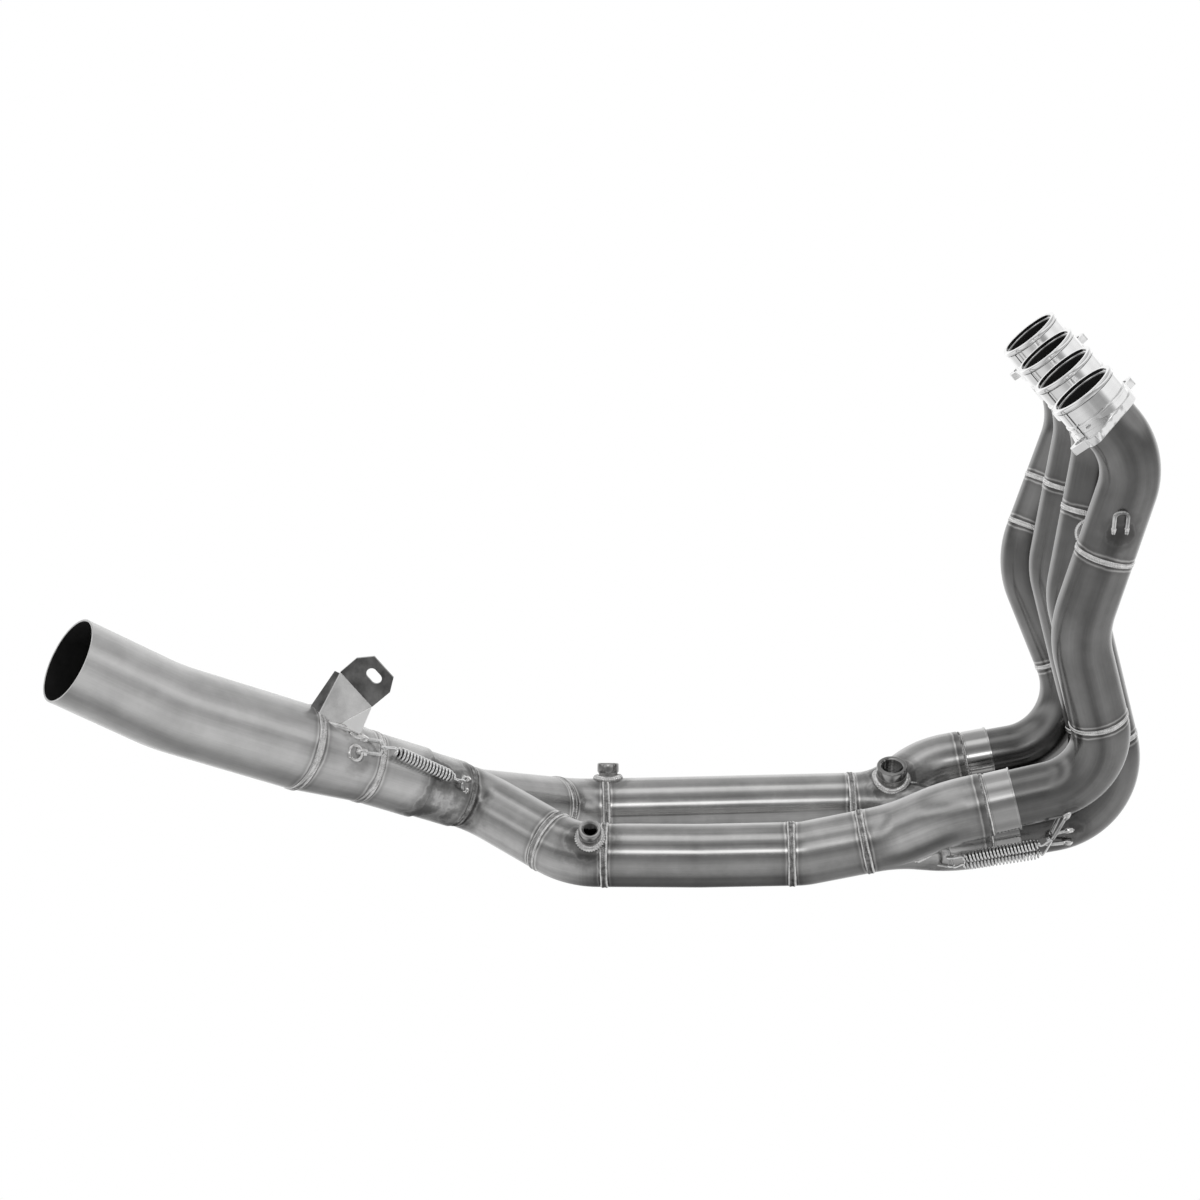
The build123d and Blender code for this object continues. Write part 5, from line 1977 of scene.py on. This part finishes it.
@dataclass(frozen=True)
class Bracket:
    """The bracket's folded web with its side facet, pale with painted light, and its strip, dark with painted
    shade, welded at the foot.

    The corners are given along the fold, down the web and out of it, in mm.

    Attributes:
        fold_start: Start of the fold between ear and web.
        fold_end: End of the fold.
        tilt: Angle in degrees by which the web leans out from the ear's plane.
        sheet: Thickness of the sheet in mm.
        web: Corners of the web.
        facet: Corners of the facet.
        strip: Corners of the strip.
        foot: Points of the weld at the foot.
        foot_size: Radius of that weld in mm.
        edge: Width of the rounding on its edges in mm.
    """

    fold_start: Triple = (-521.7, -72, -221.5)
    fold_end: Triple = (-498.8, -72, -247.9)
    tilt: float = 25.0
    sheet: float = 2.5
    web: tuple[Triple, ...] = ((0, 0, 0), (13, 38, 0), (27, 27, 0), (34.8, 0, 0))
    facet: tuple[Triple, ...] = ((34.6, 0.3, 0.2), (27, 27, 0.2), (42, 21, 6))
    strip: tuple[Triple, ...] = ((0.2, 0.5, -1), (-3.2, 1.5, -4), (5.4, 37, -10), (13, 38, -1))
    foot: tuple[Triple, ...] = ((8, 37.5, 0), (18, 34, 0), (27, 28, 0), (34, 24, 0), (41, 20, 0))
    foot_size: float = 2.2
    edge: float = 0.5

    def on_fold(self, along: float, down: float, out: float) -> Triple:
        """A point of the web, in mm.

        Args:
            along: Distance along the fold.
            down: Distance down the web.
            out: Distance out of the web.

        Returns:
            The point.
        """
        start = np.array(self.fold_start)
        way = unit(np.array(self.fold_end) - start)
        face = np.array((0.0, -1.0, 0.0))
        lean = np.radians(self.tilt)
        fall = np.cross(way, face) * np.cos(lean) + face * np.sin(lean)
        return tuple(start + way * along + fall * down + np.cross(fall, way) * out)

    def build(self, bench: Bench) -> None:
        """Folds the sheet and welds its foot."""
        plates = []
        for index, corners in enumerate((self.web, self.facet, self.strip)):
            mesh = Plate(f"plate_{index}", [self.on_fold(*corner) for corner in corners], self.sheet).mesh()
            mesh.polygons.foreach_set("material_index", np.full(len(mesh.polygons), index, dtype=np.int32))
            plates.append(mesh)
        # The facet takes painted light, and the strip painted shade.
        piece = bench.place("bracket_sheet", joined_mesh("bracket_sheet", plates), Slot.TUBE,
                            ("sheet", "facet", "ear"), ("bracket_web",))
        soften_edges(piece, self.edge)
        foot = np.array([self.on_fold(*corner) for corner in self.foot]) * MM
        weld = seam_mesh("bracket_weld", foot, self.foot_size * MM)
        bench.place("bracket_weld", weld, Slot.WELD, ("weld",))


@dataclass(frozen=True)
class Studio:
    """The camera, a white surround and the soft bands of light that the steel reflects.

    Attributes:
        lens: Focal length in mm.
        position: Camera place in metres.
        azimuth: Turn to the left in degrees.
        elevation: Tilt down in degrees.
        roll: Roll in degrees.
        bands: Light seen in the steel by its angle round the part's length, from straight
            forward at 0, up at 90, back at 180, as pairs of degrees and strength.
        slopes: The same for tubes that slope, whose reflections lean to one side.
        sides: Light from the two sides by height, from -1 straight down to 1 straight up.
    """

    lens: float = 85.0
    position: Triple = (-0.3165, -2.0683, 0.3228)
    azimuth: float = 0.4457
    elevation: float = 13.766
    roll: float = 0.151
    bands: Stops = (
        (-180, 1.2), (-160, 1.1), (-148, 0.3), (-125, 0.1), (-100, 0.15), (-72, 0.16), (-50, 0.34),
        (-16, 0.5), (-4, 0.36), (8, 0.2), (19, 0.17), (25, 0.5), (28, 2.3), (34, 2.3), (38, 0.6),
        (44, 0.34), (56, 0.24), (70, 0.42), (80, 1.0), (91, 1.05), (102, 0.46), (125, 0.5), (150, 0.66),
        (163, 1.1), (180, 1.2))
    slopes: Stops = (
        (-180, 1.3), (-155, 1.1), (-125, 0.66), (-90, 0.5), (-55, 0.66), (-20, 0.44), (6, 0.28), (18, 0.3),
        (38, 1.05), (50, 0.9), (62, 0.5), (80, 0.62), (96, 0.85), (120, 0.5), (150, 0.8), (180, 1.3))
    sides: Stops = (
        (-1, 0.6), (-0.55, 0.85), (-0.3, 0.68), (-0.12, 0.56), (0.02, 0.46), (0.16, 0.36), (0.25, 0.5),
        (0.33, 0.95), (0.46, 0.9), (0.56, 0.5), (0.68, 0.4), (0.8, 0.85), (1, 0.8))

    def build(self) -> None:
        """Sets the camera, the surround and the colour handling."""
        self._camera()
        self._surround()
        bpy.context.scene.view_settings.view_transform = "Standard"

    def _camera(self) -> None:
        """Places the camera by its turn, tilt and roll."""
        turn, tilt, roll = np.radians((self.azimuth, self.elevation, self.roll))
        flat = np.array((np.cos(turn), np.sin(turn), 0))
        ahead = np.array((-np.sin(turn) * np.cos(tilt), np.cos(turn) * np.cos(tilt), -np.sin(tilt)))
        upright = np.cross(flat, ahead)
        right = np.cos(roll) * flat + np.sin(roll) * upright
        up = np.cross(right, ahead)
        place = np.eye(4)
        place[:3, 0], place[:3, 1], place[:3, 2], place[:3, 3] = right, up, -ahead, self.position
        data = bpy.data.cameras.new("camera")
        data.lens = self.lens
        data.sensor_width = 36
        camera = bpy.data.objects.new("camera", data)
        bpy.context.scene.collection.objects.link(camera)
        camera.matrix_world = Matrix(place.tolist())
        bpy.context.scene.camera = camera

    def _surround(self) -> None:
        """Makes the world: white to the camera, bands of soft light to the steel.

        Glossy and transmission rays see the white as well where they go straight back from the camera.
        """
        world = bpy.data.worlds.new("white_room")
        world.use_nodes = True
        bpy.context.scene.world = world
        graph = Graph(world.node_tree)
        parts = graph.add("ShaderNodeSeparateXYZ", {0: graph.add("ShaderNodeTexCoord").outputs["Generated"]})
        ahead = graph.math("MULTIPLY", parts.outputs[1], -1.0)
        turn = graph.math("ARCTAN2", parts.outputs[2], ahead)
        share = graph.math("ADD", graph.math("DIVIDE", turn, float(ROUND)), 0.5)
        level, slope = (graph.ramp(share, tuple(((angle + 180) / 360, strength) for angle, strength in light))
                        for light in (self.bands, self.slopes))
        lean = graph.math("SINE", graph.math("ARCTAN2", parts.outputs[0], parts.outputs[2]))
        leaning = graph.ramp(graph.math("ABSOLUTE", lean), ((0.08, 0.0), (0.38, 1.0)))
        bands = graph.grey_mix(leaning, level, slope)
        turned = graph.ramp(graph.math("ABSOLUTE", parts.outputs[0]), ((0.25, 0.0), (0.62, 1.0)))
        aside = graph.math("MULTIPLY", turned, graph.ramp(parts.outputs[1], ((0.45, 1.0), (0.8, 0.0))))
        height = graph.math("ADD", graph.math("MULTIPLY", parts.outputs[2], 0.5), 0.5)
        flank = graph.ramp(height, tuple(((place + 1) / 2, strength) for place, strength in self.sides))
        bands = graph.grey_mix(aside, bands, flank)
        path = graph.add("ShaderNodeLightPath")
        mirrored = graph.math("MAXIMUM", path.outputs["Is Glossy Ray"], path.outputs["Is Transmission Ray"])
        behind = graph.ramp(parts.outputs[1], ((0.82, 0.0), (0.95, 1.0)))
        white = graph.math("MAXIMUM", path.outputs["Is Camera Ray"], graph.math("MULTIPLY", mirrored, behind))
        colour = graph.grey_mix(white, bands, (1, 1, 1, 1))
        light = graph.add("ShaderNodeBackground", {"Color": colour, "Strength": 1.0})
        graph.add("ShaderNodeOutputWorld", {"Surface": light.outputs[0]})


def main() -> None:
    """Builds every sub-assembly in order and reports the pieces."""
    joints, branches = Joints(), Branches()
    bench = Bench(Layout(), Finishes().materials(), branches.spots() + joints.spots())
    for assembly in (PlainTubes(), WeldBeads(), Bodies(), Ports(), joints, branches, Bracket()):
        assembly.build(bench)
    bench.dress_nodes()
    Studio().build()
    log.info("%d pieces in all", len(bench.made))


if __name__ == "__main__":
    logging.basicConfig(level=logging.INFO, format="%(message)s")
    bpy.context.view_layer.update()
    main()
